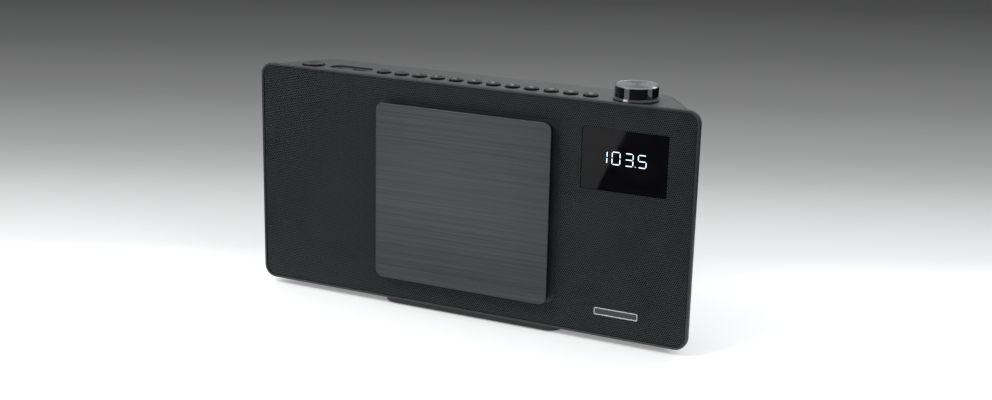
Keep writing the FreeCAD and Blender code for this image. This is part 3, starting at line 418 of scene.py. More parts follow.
@dataclass(frozen=True)
class GlowFinish:
    """The lit segments of the display."""

    name: str = "lit_segment"
    colour: Colour = (0.72, 0.86, 1.0)
    strength: float = 1.0
    scale: float = 900.0

    def make(self, shop: PatternShop) -> bpy.types.Material:
        """Build the glowing material, slightly uneven over each segment.

        Args:
            shop: the shader groups to use.

        Returns:
            The new material, on Object coordinates.
        """
        material = bpy.data.materials.new(self.name)
        material.use_nodes = True
        wiring = Wiring(material.node_tree)
        shader = material.node_tree.nodes["Principled BSDF"]
        place = wiring.add("ShaderNodeTexCoord").outputs["Object"]
        pattern = wiring.add("ShaderNodeGroup", node_tree=shop.groups[Surface.POLISHED])
        wiring.tree.links.new(place, pattern.inputs["Vector"])
        pattern.inputs["Scale"].default_value = self.scale
        dim = tuple(0.86 * c for c in self.colour)
        tone = wiring.add("ShaderNodeMix", {0: pattern.outputs["Shade"], 6: (*dim, 1.0),
                                            7: (*self.colour, 1.0)}, data_type="RGBA").outputs[2]
        wiring.tree.links.new(tone, shader.inputs["Emission Color"])
        wiring.tree.links.new(tone, shader.inputs["Base Color"])
        wiring.tree.links.new(wiring.spread(pattern.outputs["Rough"], 0.25, 0.4),
                              shader.inputs["Roughness"])
        shader.inputs["Emission Strength"].default_value = self.strength
        return material


FINISHES = {
    "shell_plastic": Finish("shell_plastic", (0.017, 0.018, 0.019), (0.026, 0.027, 0.028),
                            (0.36, 0.5), scale=2200.0, bump=0.35, edge=0.3 * MM),
    "frame_plastic": Finish("frame_plastic", (0.018, 0.019, 0.020), (0.026, 0.028, 0.029),
                            (0.28, 0.38), scale=2600.0, bump=0.2, edge=0.35 * MM),
    "grille_paint": Finish("grille_paint", (0.024, 0.029, 0.030), (0.040, 0.047, 0.048),
                           (0.40, 0.52), scale=1800.0, specular=0.5, bump=0.3, dust=0.03),
    "cloth": Finish("cloth", (0.002, 0.002, 0.002), (0.005, 0.005, 0.0055), (0.85, 0.95),
                    Surface.WOVEN, 9000.0, specular=0.1, bump=0.6, relief=0.06 * MM, dust=0.0),
    "door_metal": Finish("door_metal", (0.054, 0.056, 0.058), (0.107, 0.110, 0.114),
                         (0.30, 0.46), Surface.BRUSHED, 3400.0, metallic=1.0, bump=0.25,
                         relief=0.012 * MM, dust=0.05),
    "black_plastic": Finish("black_plastic", (0.008, 0.008, 0.009), (0.014, 0.014, 0.015),
                            (0.45, 0.6), scale=2000.0, bump=0.3),
    "window": Finish("window", (0.002, 0.002, 0.0025), (0.004, 0.004, 0.005), (0.02, 0.06),
                     Surface.POLISHED, 700.0, specular=0.17, bump=0.01, edge=0.35 * MM, dust=0.0),
    # black far darker than black plastic: painted shade for the gap beside the door and the inside
    # of the display
    "deep_black": Finish("deep_black", (0.003, 0.003, 0.003), (0.006, 0.006, 0.006),
                         (0.75, 0.9), scale=2000.0, specular=0.12, dust=0.0),
    "badge_inlay": Finish("badge_inlay", (0.055, 0.056, 0.058), (0.10, 0.102, 0.105),
                          (0.3, 0.42), Surface.BRUSHED, 3000.0, metallic=1.0, bump=0.15),
    "badge_metal": Finish("badge_metal", (0.42, 0.43, 0.44), (0.62, 0.63, 0.64), (0.2, 0.34),
                          Surface.BRUSHED, 3000.0, metallic=1.0, bump=0.15, edge=0.15 * MM),
    "rubber": Finish("rubber", (0.010, 0.010, 0.010), (0.022, 0.022, 0.022), (0.75, 0.9),
                     Surface.CAST, 1600.0, bump=0.4),
    "steel": Finish("steel", (0.30, 0.31, 0.32), (0.46, 0.47, 0.48), (0.28, 0.42),
                    Surface.BRUSHED, 1800.0, metallic=1.0, bump=0.15),
    "chrome": Finish("chrome", (0.55, 0.56, 0.57), (0.68, 0.69, 0.70), (0.08, 0.2),
                     Surface.POLISHED, 1200.0, metallic=1.0, bump=0.05),
    "motor_can": Finish("motor_can", (0.36, 0.36, 0.35), (0.52, 0.52, 0.50), (0.3, 0.48),
                        Surface.CAST, 700.0, metallic=1.0, bump=0.15),
    "gear_plastic": Finish("gear_plastic", (0.55, 0.54, 0.50), (0.68, 0.67, 0.62), (0.4, 0.5),
                           scale=1500.0, bump=0.2),
    "lens": Finish("lens", (0.02, 0.03, 0.07), (0.04, 0.06, 0.12), (0.02, 0.06),
                   Surface.POLISHED, 900.0, coat=1.0, bump=0.02, dust=0.0),
    "board": Finish("board", (0.012, 0.060, 0.024), (0.024, 0.105, 0.045), (0.3, 0.45),
                    Surface.CAST, 500.0, coat=0.4, bump=0.15),
    "components": Finish("components", (0.012, 0.012, 0.013), (0.030, 0.030, 0.032),
                         (0.4, 0.6), scale=1600.0),
    "paper_cone": Finish("paper_cone", (0.016, 0.015, 0.014), (0.036, 0.034, 0.031),
                         (0.8, 0.95), Surface.CAST, 1400.0, bump=0.5),
    "foam": Finish("foam", (0.010, 0.010, 0.010), (0.020, 0.020, 0.020), (0.6, 0.8),
                   Surface.CAST, 2200.0, bump=0.3),
    "magnet": Finish("magnet", (0.045, 0.045, 0.047), (0.080, 0.080, 0.082), (0.5, 0.7),
                     Surface.CAST, 900.0, bump=0.4),
    "screw": Finish("screw", (0.050, 0.050, 0.052), (0.110, 0.110, 0.114), (0.26, 0.4),
                    Surface.BRUSHED, 1500.0, metallic=1.0, bump=0.12),
    "button_plastic": Finish("button_plastic", (0.005, 0.005, 0.0055), (0.009, 0.009, 0.010),
                             (0.14, 0.24), Surface.POLISHED, 900.0, specular=0.15, bump=0.03,
                             edge=0.3 * MM, dust=0.03),
    "knob_plastic": Finish("knob_plastic", (0.004, 0.004, 0.0045), (0.008, 0.008, 0.009),
                           (0.05, 0.14), Surface.POLISHED, 900.0, coat=0.6, bump=0.03,
                           edge=0.2 * MM, dust=0.05),
    # lighter copy of the cap's turned metal; its extra brightness is a painted highlight along the
    # chamfered rim
    "knob_rim": Finish("knob_rim", (0.24, 0.244, 0.25), (0.36, 0.365, 0.37), (0.2, 0.3),
                       Surface.POLISHED, 900.0, metallic=1.0, bump=0.03, dust=0.03),
    "knob_metal": Finish("knob_metal", (0.11, 0.113, 0.117), (0.21, 0.213, 0.218), (0.22, 0.32),
                         Surface.SPUN, 5000.0, metallic=1.0, bump=0.2, relief=0.01 * MM,
                         anisotropy=0.85, dust=0.0,
                         centre=(-130.0 * MM, 4.85 * MM, 0.0)),
}


class Wardrobe:
    """Makes each finish once and dresses nodes and pieces with it."""

    # real black parts darkened further to stand for the shade around them: painted shade
    PAINTED_SHADE_FINISH = {"door_backing": "deep_black", "display_module": "deep_black"}

    def __init__(self) -> None:
        """Build the shader groups; the materials follow when first asked for."""
        self.shop = PatternShop()
        self.made: dict[str, bpy.types.Material] = {}

    def material(self, finish: Finish | GlowFinish) -> bpy.types.Material:
        """The material of a finish, made at its first use.

        Args:
            finish: the finish.

        Returns:
            Its material.
        """
        if finish.name not in self.made:
            self.made[finish.name] = finish.make(self.shop)
        return self.made[finish.name]

    def dress(self, item: bpy.types.Object, finish: Finish | GlowFinish) -> None:
        """Give every slot of an object one finish.

        Args:
            item: the object.
            finish: the finish.
        """
        material = self.material(finish)
        if not item.data.materials:
            item.data.materials.append(material)
        for index in range(len(item.data.materials)):
            item.data.materials[index] = material

    def dress_frame(self) -> None:
        """Give each CAD node the finish of its slot in the record, or the painted-shade black where
        that is listed for it.
        """
        for entry in frame["record"]["subparts"]:
            node = entry["node"]
            name = self.PAINTED_SHADE_FINISH.get(node, entry["material_slot"])
            self.dress(frame["nodes"][node], FINISHES[name])
            log.info("node %s: %s", node, name)


# ------------------------------------------------------------------ flat shapes

def rounded_outline(low: Point, high: Point, radius: float, steps: int = 8) -> list[Point]:
    """Corners of a rounded rectangle.

    Args:
        low: its lowest corner.
        high: its highest corner.
        radius: radius of its corners.
        steps: segments in each corner.

    Returns:
        Its points, counter-clockwise.
    """
    centres = ((high[0] - radius, high[1] - radius), (low[0] + radius, high[1] - radius),
               (low[0] + radius, low[1] + radius), (high[0] - radius, low[1] + radius))
    points = []
    for quarter, (x, z) in enumerate(centres):
        for step in range(steps + 1):
            angle = math.radians(90.0) * (quarter + step / steps)
            points.append((x + radius * math.cos(angle), z + radius * math.sin(angle)))
    return points


def cut_by_line(shape: list[Point], start: Point, end: Point) -> tuple[list[Point], list[Point]]:
    """Split a convex shape by a line.

    Args:
        shape: points of the shape, counter-clockwise.
        start: a point of the line.
        end: a later point of the line.

    Returns:
        The part on the line's left and the part on its right, each empty if too small.
    """
    def side(point: Point) -> float:
        """Signed measure of how far left of the line a point is."""
        return ((end[0] - start[0]) * (point[1] - start[1])
                - (end[1] - start[1]) * (point[0] - start[0]))

    left, right = [], []
    for here, there in zip(shape, shape[1:] + shape[:1]):
        a, b = side(here), side(there)
        if a >= 0:
            left.append(here)
        if a <= 0:
            right.append(here)
        if a * b < 0:
            share = a / (a - b)
            met = (here[0] + share * (there[0] - here[0]), here[1] + share * (there[1] - here[1]))
            left.append(met)
            right.append(met)
    return (left if len(left) > 2 else []), (right if len(right) > 2 else [])


@dataclass(frozen=True)
class Panel:
    """A rounded rectangle in the plane of the front."""

    low: Point
    high: Point
    radius: float

    def inset(self, point: Point) -> float:
        """How far inside the outline a point lies.

        Args:
            point: the point.

        Returns:
            Its distance from the outline, below zero outside.
        """
        half = [(b - a) / 2 for a, b in zip(self.low, self.high)]
        middle = [(a + b) / 2 for a, b in zip(self.low, self.high)]
        over = [abs(p - m) - (h - self.radius) for p, m, h in zip(point, middle, half)]
        outside = math.hypot(max(over[0], 0.0), max(over[1], 0.0))
        return self.radius - outside - min(max(over), 0.0)

    def inner(self, shape: list[Point]) -> list[Point]:
        """Cut a convex shape to this panel.

        Args:
            shape: the shape's points, counter-clockwise.

        Returns:
            The part inside the panel, empty if there is none.
        """
        edge = rounded_outline(self.low, self.high, self.radius)
        for start, end in zip(edge, edge[1:] + edge[:1]):
            if shape and math.dist(start, end) > WELD:
                shape = cut_by_line(shape, start, end)[0]
        return shape

    def outer(self, shape: list[Point]) -> list[list[Point]]:
        """Cut this panel out of a convex shape.

        Args:
            shape: the shape's points, counter-clockwise.

        Returns:
            The convex parts outside the panel.
        """
        edge = rounded_outline(self.low, self.high, self.radius)
        parts = []
        for start, end in zip(edge, edge[1:] + edge[:1]):
            if shape and math.dist(start, end) > WELD:
                shape, off = cut_by_line(shape, start, end)
                parts += [off] if off else []
        return parts


def link(name: str, mesh: bpy.types.Mesh) -> bpy.types.Object:
    """Put a mesh in the scene as an object at the origin.

    Args:
        name: the object's name.
        mesh: its mesh.

    Returns:
        The object.
    """
    item = bpy.data.objects.new(name, mesh)
    bpy.context.scene.collection.objects.link(item)
    return item


def finish_piece(item: bpy.types.Object, body: str, slot: str, *stands_for: str) -> None:
    """Hang a finished piece on its body and hide the CAD nodes it stands for.

    Args:
        item: the piece.
        body: the body it rides on.
        slot: its material slot in the record; not used.
        stands_for: the CAD nodes that it replaces.
    """
    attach(item, body)
    if stands_for:
        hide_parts(*stands_for)
    log.info("piece %s on %s: %d faces", item.name, body, len(item.data.polygons))


def grow(item: bpy.types.Object, tree: bpy.types.NodeTree, values: dict[str, object]) -> None:
    """Run Geometry Nodes on an object and keep what they make as its plain mesh.

    Args:
        item: the object; its mesh is what the nodes start from.
        tree: the Geometry Nodes.
        values: the value of each of the tree's inputs, by name.
    """
    inputs = {s.name: s.identifier for s in tree.interface.items_tree if s.in_out == "INPUT"}
    modifier = item.modifiers.new(tree.name, "NODES")
    modifier.node_group = tree
    for socket, value in values.items():
        modifier[inputs[socket]] = value
    graph = bpy.context.evaluated_depsgraph_get()
    made = bpy.data.meshes.new_from_object(item.evaluated_get(graph))
    item.modifiers.remove(modifier)
    old = item.data
    item.data = made
    made.name = item.name
    bpy.data.meshes.remove(old)


def skin(shape: bmesh.types.BMesh, loops: list[list[bmesh.types.BMVert]],
         bands: tuple[int, ...] = ()) -> bmesh.types.BMFace:
    """Join loops of corners into a closed body with a flat cap at each end.

    Args:
        shape: the shape that is being built.
        loops: loops with as many corners each, from one end to the other.
        bands: finish of each band between two loops, the first finish if not given.

    Returns:
        The cap on the last loop.
    """
    for band, (lower, upper) in enumerate(zip(loops, loops[1:])):
        for k in range(len(lower)):
            nxt = (k + 1) % len(lower)
            side = shape.faces.new((lower[k], lower[nxt], upper[nxt], upper[k]))
            side.material_index = bands[band] if bands else 0
    shape.faces.new(loops[0])
    return shape.faces.new(reversed(loops[-1]))


def close_up(name: str, shape: bmesh.types.BMesh) -> bpy.types.Object:
    """Turn a shape's faces outwards and put it in the scene.

    Args:
        name: the piece's name.
        shape: the finished shape, which is freed.

    Returns:
        The piece.
    """
    bmesh.ops.recalc_face_normals(shape, faces=shape.faces)
    mesh = bpy.data.meshes.new(name)
    shape.to_mesh(mesh)
    shape.free()
    return link(name, mesh)


# ------------------------------------------------------------------ grille

@dataclass
class Grille:
    """The perforated front sheet, made of six-sided cells with a hole in each."""

    pitch: float = 1.6 * MM
    hole: float = 1.5 * MM
    corner: float = 7.6 * MM
    bay_corner: float = 5.0 * MM
    window_corner: float = 1.5 * MM
    bay_opening: tuple[float, float] = (153.0 * MM, 142.4 * MM)
    window_opening: tuple[float, float] = (67.7 * MM, 47.1 * MM)
    columns: int = 4
    cells: list[Point] = field(default_factory=list)
    margins: list[list[Point]] = field(default_factory=list)

    def __post_init__(self) -> None:
        """Read the sheet's place from its CAD node."""
        low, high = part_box("grille")
        self.front, self.back = low.y, high.y
        self.sheet = Panel((low.x, low.z), (high.x, high.z), self.corner)
        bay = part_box("door_skin")
        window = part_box("display_window")
        self.openings = (self._opening(bay, self.bay_opening, self.bay_corner),
                         self._opening(window, self.window_opening, self.window_corner))
        self.reach = self.pitch / math.sqrt(3.0)

    @staticmethod
    def _opening(box: tuple[Vector, Vector], size: tuple[float, float], radius: float) -> Panel:
        """An opening about the middle of a part.

        Args:
            box: the part's lowest and highest corners.
            size: the opening's width and height.
            radius: radius of its corners.

        Returns:
            The opening.
        """
        middle = (box[0] + box[1]) / 2
        half = (size[0] / 2, size[1] / 2)
        return Panel((middle.x - half[0], middle.z - half[1]),
                     (middle.x + half[0], middle.z + half[1]), radius)

    def _ring(self, x: float, z: float) -> list[list[Point]]:
        """The six sides of one cell, around its hole.

        Args:
            x: the cell's middle.
            z: the cell's middle.

        Returns:
            The four corners of each side.
        """
        def corner(radius: float, k: int) -> Point:
            """Corner k of a hexagon about the point."""
            turn = math.radians(30 + 60 * k)
            return x + radius * math.cos(turn), z + radius * math.sin(turn)
        return [[corner(self.hole / 2, k), corner(self.reach, k), corner(self.reach, k + 1),
                 corner(self.hole / 2, k + 1)] for k in range(6)]

    def lay_out(self) -> None:
        """Sort the cells into whole ones and the margins cut through by an edge."""
        row_pitch = self.pitch * math.sqrt(3.0) / 2
        low, high = self.sheet.low, self.sheet.high
        across = int((high[0] - low[0]) / self.pitch / 2) + 2
        upward = int((high[1] - low[1]) / row_pitch / 2) + 2
        middle = (low[1] + high[1]) / 2
        for row in range(-upward, upward + 1):
            for column in range(-across, across + 1):
                point = ((column + 0.5 * (row % 2)) * self.pitch, middle + row * row_pitch)
                inset = min([self.sheet.inset(point)] + [-o.inset(point) for o in self.openings])
                if inset >= self.reach:
                    self.cells.append(point)
                elif inset > -self.reach:
                    for side in self._ring(*point):
                        self._trim(side)

    def _trim(self, shape: list[Point]) -> None:
        """Cut one side of a cell to the sheet and its openings, and keep what is left.

        Args:
            shape: the side's corners, counter-clockwise.
        """
        parts = [self.sheet.inner(shape)]
        for opening in self.openings:
            parts = [kept for part in parts if part for kept in opening.outer(part)]
        self.margins += [part for part in parts if part]

    def _tree(self) -> bpy.types.NodeTree:
        """Build the nodes that punch the cells, weld them to the margins and give thickness.

        Returns:
            The Geometry Nodes.
        """
        takes = {"Geometry": "Geometry", "Pitch": "Float", "Hole": "Float", "Thickness": "Float",
                 "Finish": "Material"}
        wiring, given, out = new_group("punched sheet", "GeometryNodeTree", takes,
                                       {"Geometry": "Geometry"})
        pitch, hole = given.outputs["Pitch"], given.outputs["Hole"]
        reach = wiring.maths("DIVIDE", pitch, math.sqrt(3.0))
        hexagon = wiring.add("GeometryNodeMeshCircle", {"Vertices": 6, "Radius": reach},
                             fill_type="NGON")
        doubled = wiring.add("GeometryNodeExtrudeMesh", {"Mesh": hexagon.outputs[0],
                                                         "Offset Scale": 0.0}, mode="FACES")
        ratio = wiring.maths("DIVIDE", wiring.maths("MULTIPLY", hole, 0.5), reach)
        ring = wiring.add("GeometryNodeScaleElements", {"Geometry": doubled.outputs["Mesh"],
                          "Selection": doubled.outputs["Top"], "Scale": ratio})
        punched = wiring.add("GeometryNodeDeleteGeometry", {"Geometry": ring.outputs[0],
                             "Selection": doubled.outputs["Top"]}, domain="FACE")
        lone = wiring.add("GeometryNodeInputMeshVertexNeighbors").outputs["Face Count"]
        is_cell = wiring.add("FunctionNodeCompare", {2: lone, 3: 0}, data_type="INT",
                             operation="EQUAL").outputs[0]
        sorted_out = wiring.add("GeometryNodeSeparateGeometry",
                                {"Geometry": given.outputs["Geometry"], "Selection": is_cell},
                                domain="POINT")
        upright = (math.radians(90), math.radians(30), 0.0)
        placed = wiring.add("GeometryNodeInstanceOnPoints",
                            {"Points": sorted_out.outputs["Selection"],
                             "Instance": punched.outputs[0], "Rotation": upright})
        real = wiring.add("GeometryNodeRealizeInstances", {"Geometry": placed.outputs[0]})
        whole = wiring.add("GeometryNodeJoinGeometry")
        for piece in (real.outputs[0], sorted_out.outputs["Inverted"]):
            wiring.tree.links.new(piece, whole.inputs[0])
        flat = wiring.add("GeometryNodeMergeByDistance", {"Geometry": whole.outputs[0],
                                                          "Distance": WELD * 2})
        raised = wiring.add("GeometryNodeExtrudeMesh",
                            {"Mesh": flat.outputs[0], "Offset Scale": given.outputs["Thickness"],
                             "Individual": False}, mode="FACES")
        under = wiring.add("GeometryNodeFlipFaces", {"Mesh": flat.outputs[0]})
        closed = wiring.add("GeometryNodeJoinGeometry")
        for piece in (raised.outputs["Mesh"], under.outputs[0]):
            wiring.tree.links.new(piece, closed.inputs[0])
        welded = wiring.add("GeometryNodeMergeByDistance", {"Geometry": closed.outputs[0],
                                                            "Distance": WELD * 2})
        dressed = wiring.add("GeometryNodeSetMaterial", {"Geometry": welded.outputs[0],
                                                         "Material": given.outputs["Finish"]})
        wiring.tree.links.new(dressed.outputs[0], out.inputs[0])
        return wiring.tree

    def _seed(self, name: str, cells: list[Point], margins: list[list[Point]]
              ) -> bpy.types.Object:
        """A mesh of loose points, one for each cell, and the flat margin faces.

        Args:
            name: the piece's name.
            cells: the middles of the cells.
            margins: the corners of each margin face.

        Returns:
            The object with the mesh.
        """
        mesh = bpy.data.meshes.new(name)
        points = [(x, self.back, z) for x, z in cells]
        faces = []
        for shape in margins:
            faces.append(list(range(len(points), len(points) + len(shape))))
            points += [(x, self.back, z) for x, z in shape]
        mesh.from_pydata(points, [], faces)
        return link(name, mesh)

    def build(self, wardrobe: Wardrobe) -> None:
        """Make the sheet as a few pieces side by side.

        Args:
            wardrobe: where the finish comes from.
        """
        self.lay_out()
        tree = self._tree()
        values = {"Pitch": self.pitch, "Hole": self.hole, "Thickness": self.back - self.front,
                  "Finish": wardrobe.material(FINISHES["grille_paint"])}
        spread = sorted(x for x, _ in self.cells)
        cuts = [spread[len(spread) * k // self.columns] for k in range(1, self.columns)]
        for column in range(self.columns):
            def here(x: float) -> bool:
                """Whether a cell at x belongs to this column."""
                return sum(x >= cut for cut in cuts) == column
            name = f"grille_sheet_{column + 1}"
            item = self._seed(name, [c for c in self.cells if here(c[0])],
                              [m for m in self.margins if here(sum(p[0] for p in m) / len(m))])
            grow(item, tree, values)
            finish_piece(item, CABINET, "grille_paint", "grille")


# ------------------------------------------------------------------ door panel

@dataclass
class DoorPanel:
    """The brushed metal skin of the door, with a softly broken front edge."""

    radius: float = 6.3 * MM
    softness: float = 0.35 * MM
    rings: int = 4

    def build(self, wardrobe: Wardrobe) -> None:
        """Build the skin in rings from its back edge over the rounding to its face.

        Args:
            wardrobe: where the finish comes from.
        """
        low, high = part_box("door_skin")
        shape = bmesh.new()
        loops = []
        for step in range(-1, self.rings + 1):
            turn = math.radians(90) * max(step, 0) / self.rings
            shrink = self.softness * (1 - math.cos(turn))
            y = high.y if step < 0 else low.y + self.softness * (1 - math.sin(turn))
            outline = rounded_outline((low.x + shrink, low.z + shrink),
                                      (high.x - shrink, high.z - shrink), self.radius - shrink, 12)
            loops.append([shape.verts.new((x, y, z)) for x, z in outline])
        skin(shape, loops)
        for face in shape.faces:
            face.smooth = len(face.verts) == 4
        item = close_up("door_panel", shape)
        wardrobe.dress(item, FINISHES["door_metal"])
        finish_piece(item, "door", "door_metal", "door_skin")


# ------------------------------------------------------------------ display

@dataclass
class Digits:
    """The lit seven-segment figures, set into the window's face."""

    figures: str = "103.5"
    first: float = -16.7 * MM
    pitch: float = 10.15 * MM
    width: float = 6.1 * MM
    height: float = 9.3 * MM
    stroke: float = 0.68 * MM
    gap: float = 0.4 * MM
    rise: float = 2.0 * MM
    proud: float = 0.04 * MM
    sunk: float = 0.3 * MM

    SEGMENTS = {"1": "bc", "0": "abcdef", "3": "abcdg", "5": "acdfg"}
    BARS = {"a": (0, 1, 0), "g": (0, 0, 0), "d": (0, -1, 0), "f": (-1, 0.5, 1),
            "b": (1, 0.5, 1), "e": (-1, -0.5, 1), "c": (1, -0.5, 1)}

    def _bar(self, x: float, z: float, upright: bool) -> list[Point]:
        """Outline of one pointed bar.

        Args:
            x: the bar's middle.
            z: the bar's middle.
            upright: whether it stands upright.

        Returns:
            Its corners.
        """
        length = (self.height if upright else self.width * 2) / 4 - self.gap
        half = self.stroke / 2
        flat = [(length, 0), (length - half, half), (-length + half, half), (-length, 0),
                (-length + half, -half), (length - half, -half)]
        if upright:
            flat = [(-b, a) for a, b in flat]
        return [(x + a, z + b) for a, b in flat]

    def _dot(self, x: float, z: float) -> list[Point]:
        """Outline of the point between two figures."""
        return [(x + self.stroke / 2 * math.cos(math.radians(30 * k)),
                 z + self.stroke / 2 * math.sin(math.radians(30 * k))) for k in range(12)]

    def _shapes(self, middle: Vector) -> list[list[Point]]:
        """Outlines of all lit segments.

        Args:
            middle: the window's middle.

        Returns:
            The corners of each segment.
        """
        shapes, column = [], 0
        z_mid = middle.z + self.rise
        for figure in self.figures:
            x_mid = middle.x + self.first + column * self.pitch
            if figure == ".":
                shapes.append(self._dot(x_mid - self.pitch / 2, z_mid - self.height / 2))
                continue
            for bar in self.SEGMENTS[figure]:
                side, level, upright = self.BARS[bar]
                shapes.append(self._bar(x_mid + side * self.width / 2,
                                        z_mid + level * self.height / 2, bool(upright)))
            column += 1
        return shapes

    def build(self, wardrobe: Wardrobe) -> None:
        """Build every segment as a thin closed plate set into the window.

        Args:
            wardrobe: where the finish comes from.
        """
        low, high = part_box("display_window")
        shape = bmesh.new()
        for outline in self._shapes((low + high) / 2):
            loops = [[shape.verts.new((x, y, z)) for x, z in outline]
                     for y in (low.y + self.sunk, low.y - self.proud)]
            skin(shape, loops)
        item = close_up("display_digits", shape)
        wardrobe.dress(item, GlowFinish())
        finish_piece(item, CABINET, "window")


# ------------------------------------------------------------------ badge

@dataclass
class Badge:
    """A blank name plate: a bright raised rim about a darker brushed inlay."""

    rim: float = 0.8 * MM
    sunk: float = 0.25 * MM
    corner: float = 1.0 * MM
    break_edge: float = 0.12 * MM

    def _steps(self) -> list[tuple[float, float]]:
        """The plate's outlines from its edge to its inlay.

        Returns:
            How far each is set in and how far it lies behind the face.
        """
        soft = self.break_edge
        return [(0.0, soft), (soft, 0.0), (self.rim - soft, 0.0), (self.rim, soft),
                (self.rim, self.sunk)]

    def build(self, wardrobe: Wardrobe) -> None:
        """Build the plate from its back over the rim to the inlay.

        Args:
            wardrobe: where the finishes come from.
        """
        low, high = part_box("badge")
        shape = bmesh.new()
        loops = []
        for inset, behind in [(0.0, high.y - low.y)] + self._steps():
            outline = rounded_outline((low.x + inset, low.z + inset),
                                      (high.x - inset, high.z - inset),
                                      max(self.corner - inset, 0.1 * MM), 6)
            loops.append([shape.verts.new((x, low.y + behind, z)) for x, z in outline])
        skin(shape, loops).material_index = 1
        item = close_up("badge_plate", shape)
        for name in ("badge_metal", "badge_inlay"):
            item.data.materials.append(wardrobe.material(FINISHES[name]))
        finish_piece(item, CABINET, "badge_metal", "badge")


# ------------------------------------------------------------------ knob cap

@dataclass
class KnobCap:
    """The turned metal cap of the knob: a spun face inside a chamfered rim, which has a lighter
    copy of the metal as a painted highlight.
    """

    wall: float = 0.3 * MM
    chamfer: float = 0.9 * MM
    step: float = 0.35 * MM
    sunk: float = 0.12 * MM
    sides: int = 96
    # the rim's side, chamfer and step take the lighter rim finish, a painted highlight
    bands: tuple[int, ...] = (0, 1, 1, 1, 0, 0)
    face_rings: tuple[float, ...] = (0.6, 0.2)

    def build(self, wardrobe: Wardrobe) -> None:
        """Turn the cap about the knob's axis, from the box of its CAD node.

        Args:
            wardrobe: where the finishes come from.
        """
        low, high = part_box("knob_cap")
        middle, radius = (low + high) / 2, (high.x - low.x) / 2
        edge, face = radius - self.chamfer, high.z - self.sunk
        rings = ((edge, low.z), (radius, low.z), (radius, low.z + self.wall), (edge, high.z),
                 (edge - self.step, face), *((edge * share, face) for share in self.face_rings))
        turns = [2 * math.pi * k / self.sides for k in range(self.sides)]
        shape = bmesh.new()
        skin(shape, [[shape.verts.new((middle.x + size * math.cos(turn),
                                       middle.y + size * math.sin(turn), height))
                      for turn in turns] for size, height in rings], self.bands)
        item = close_up("knob_top", shape)
        # second finish: the lighter rim metal, a painted highlight on the chamfer
        for name in ("knob_metal", "knob_rim"):
            item.data.materials.append(wardrobe.material(FINISHES[name]))
        finish_piece(item, "knob", "knob_metal", "knob_cap")


# ------------------------------------------------------------------ screws

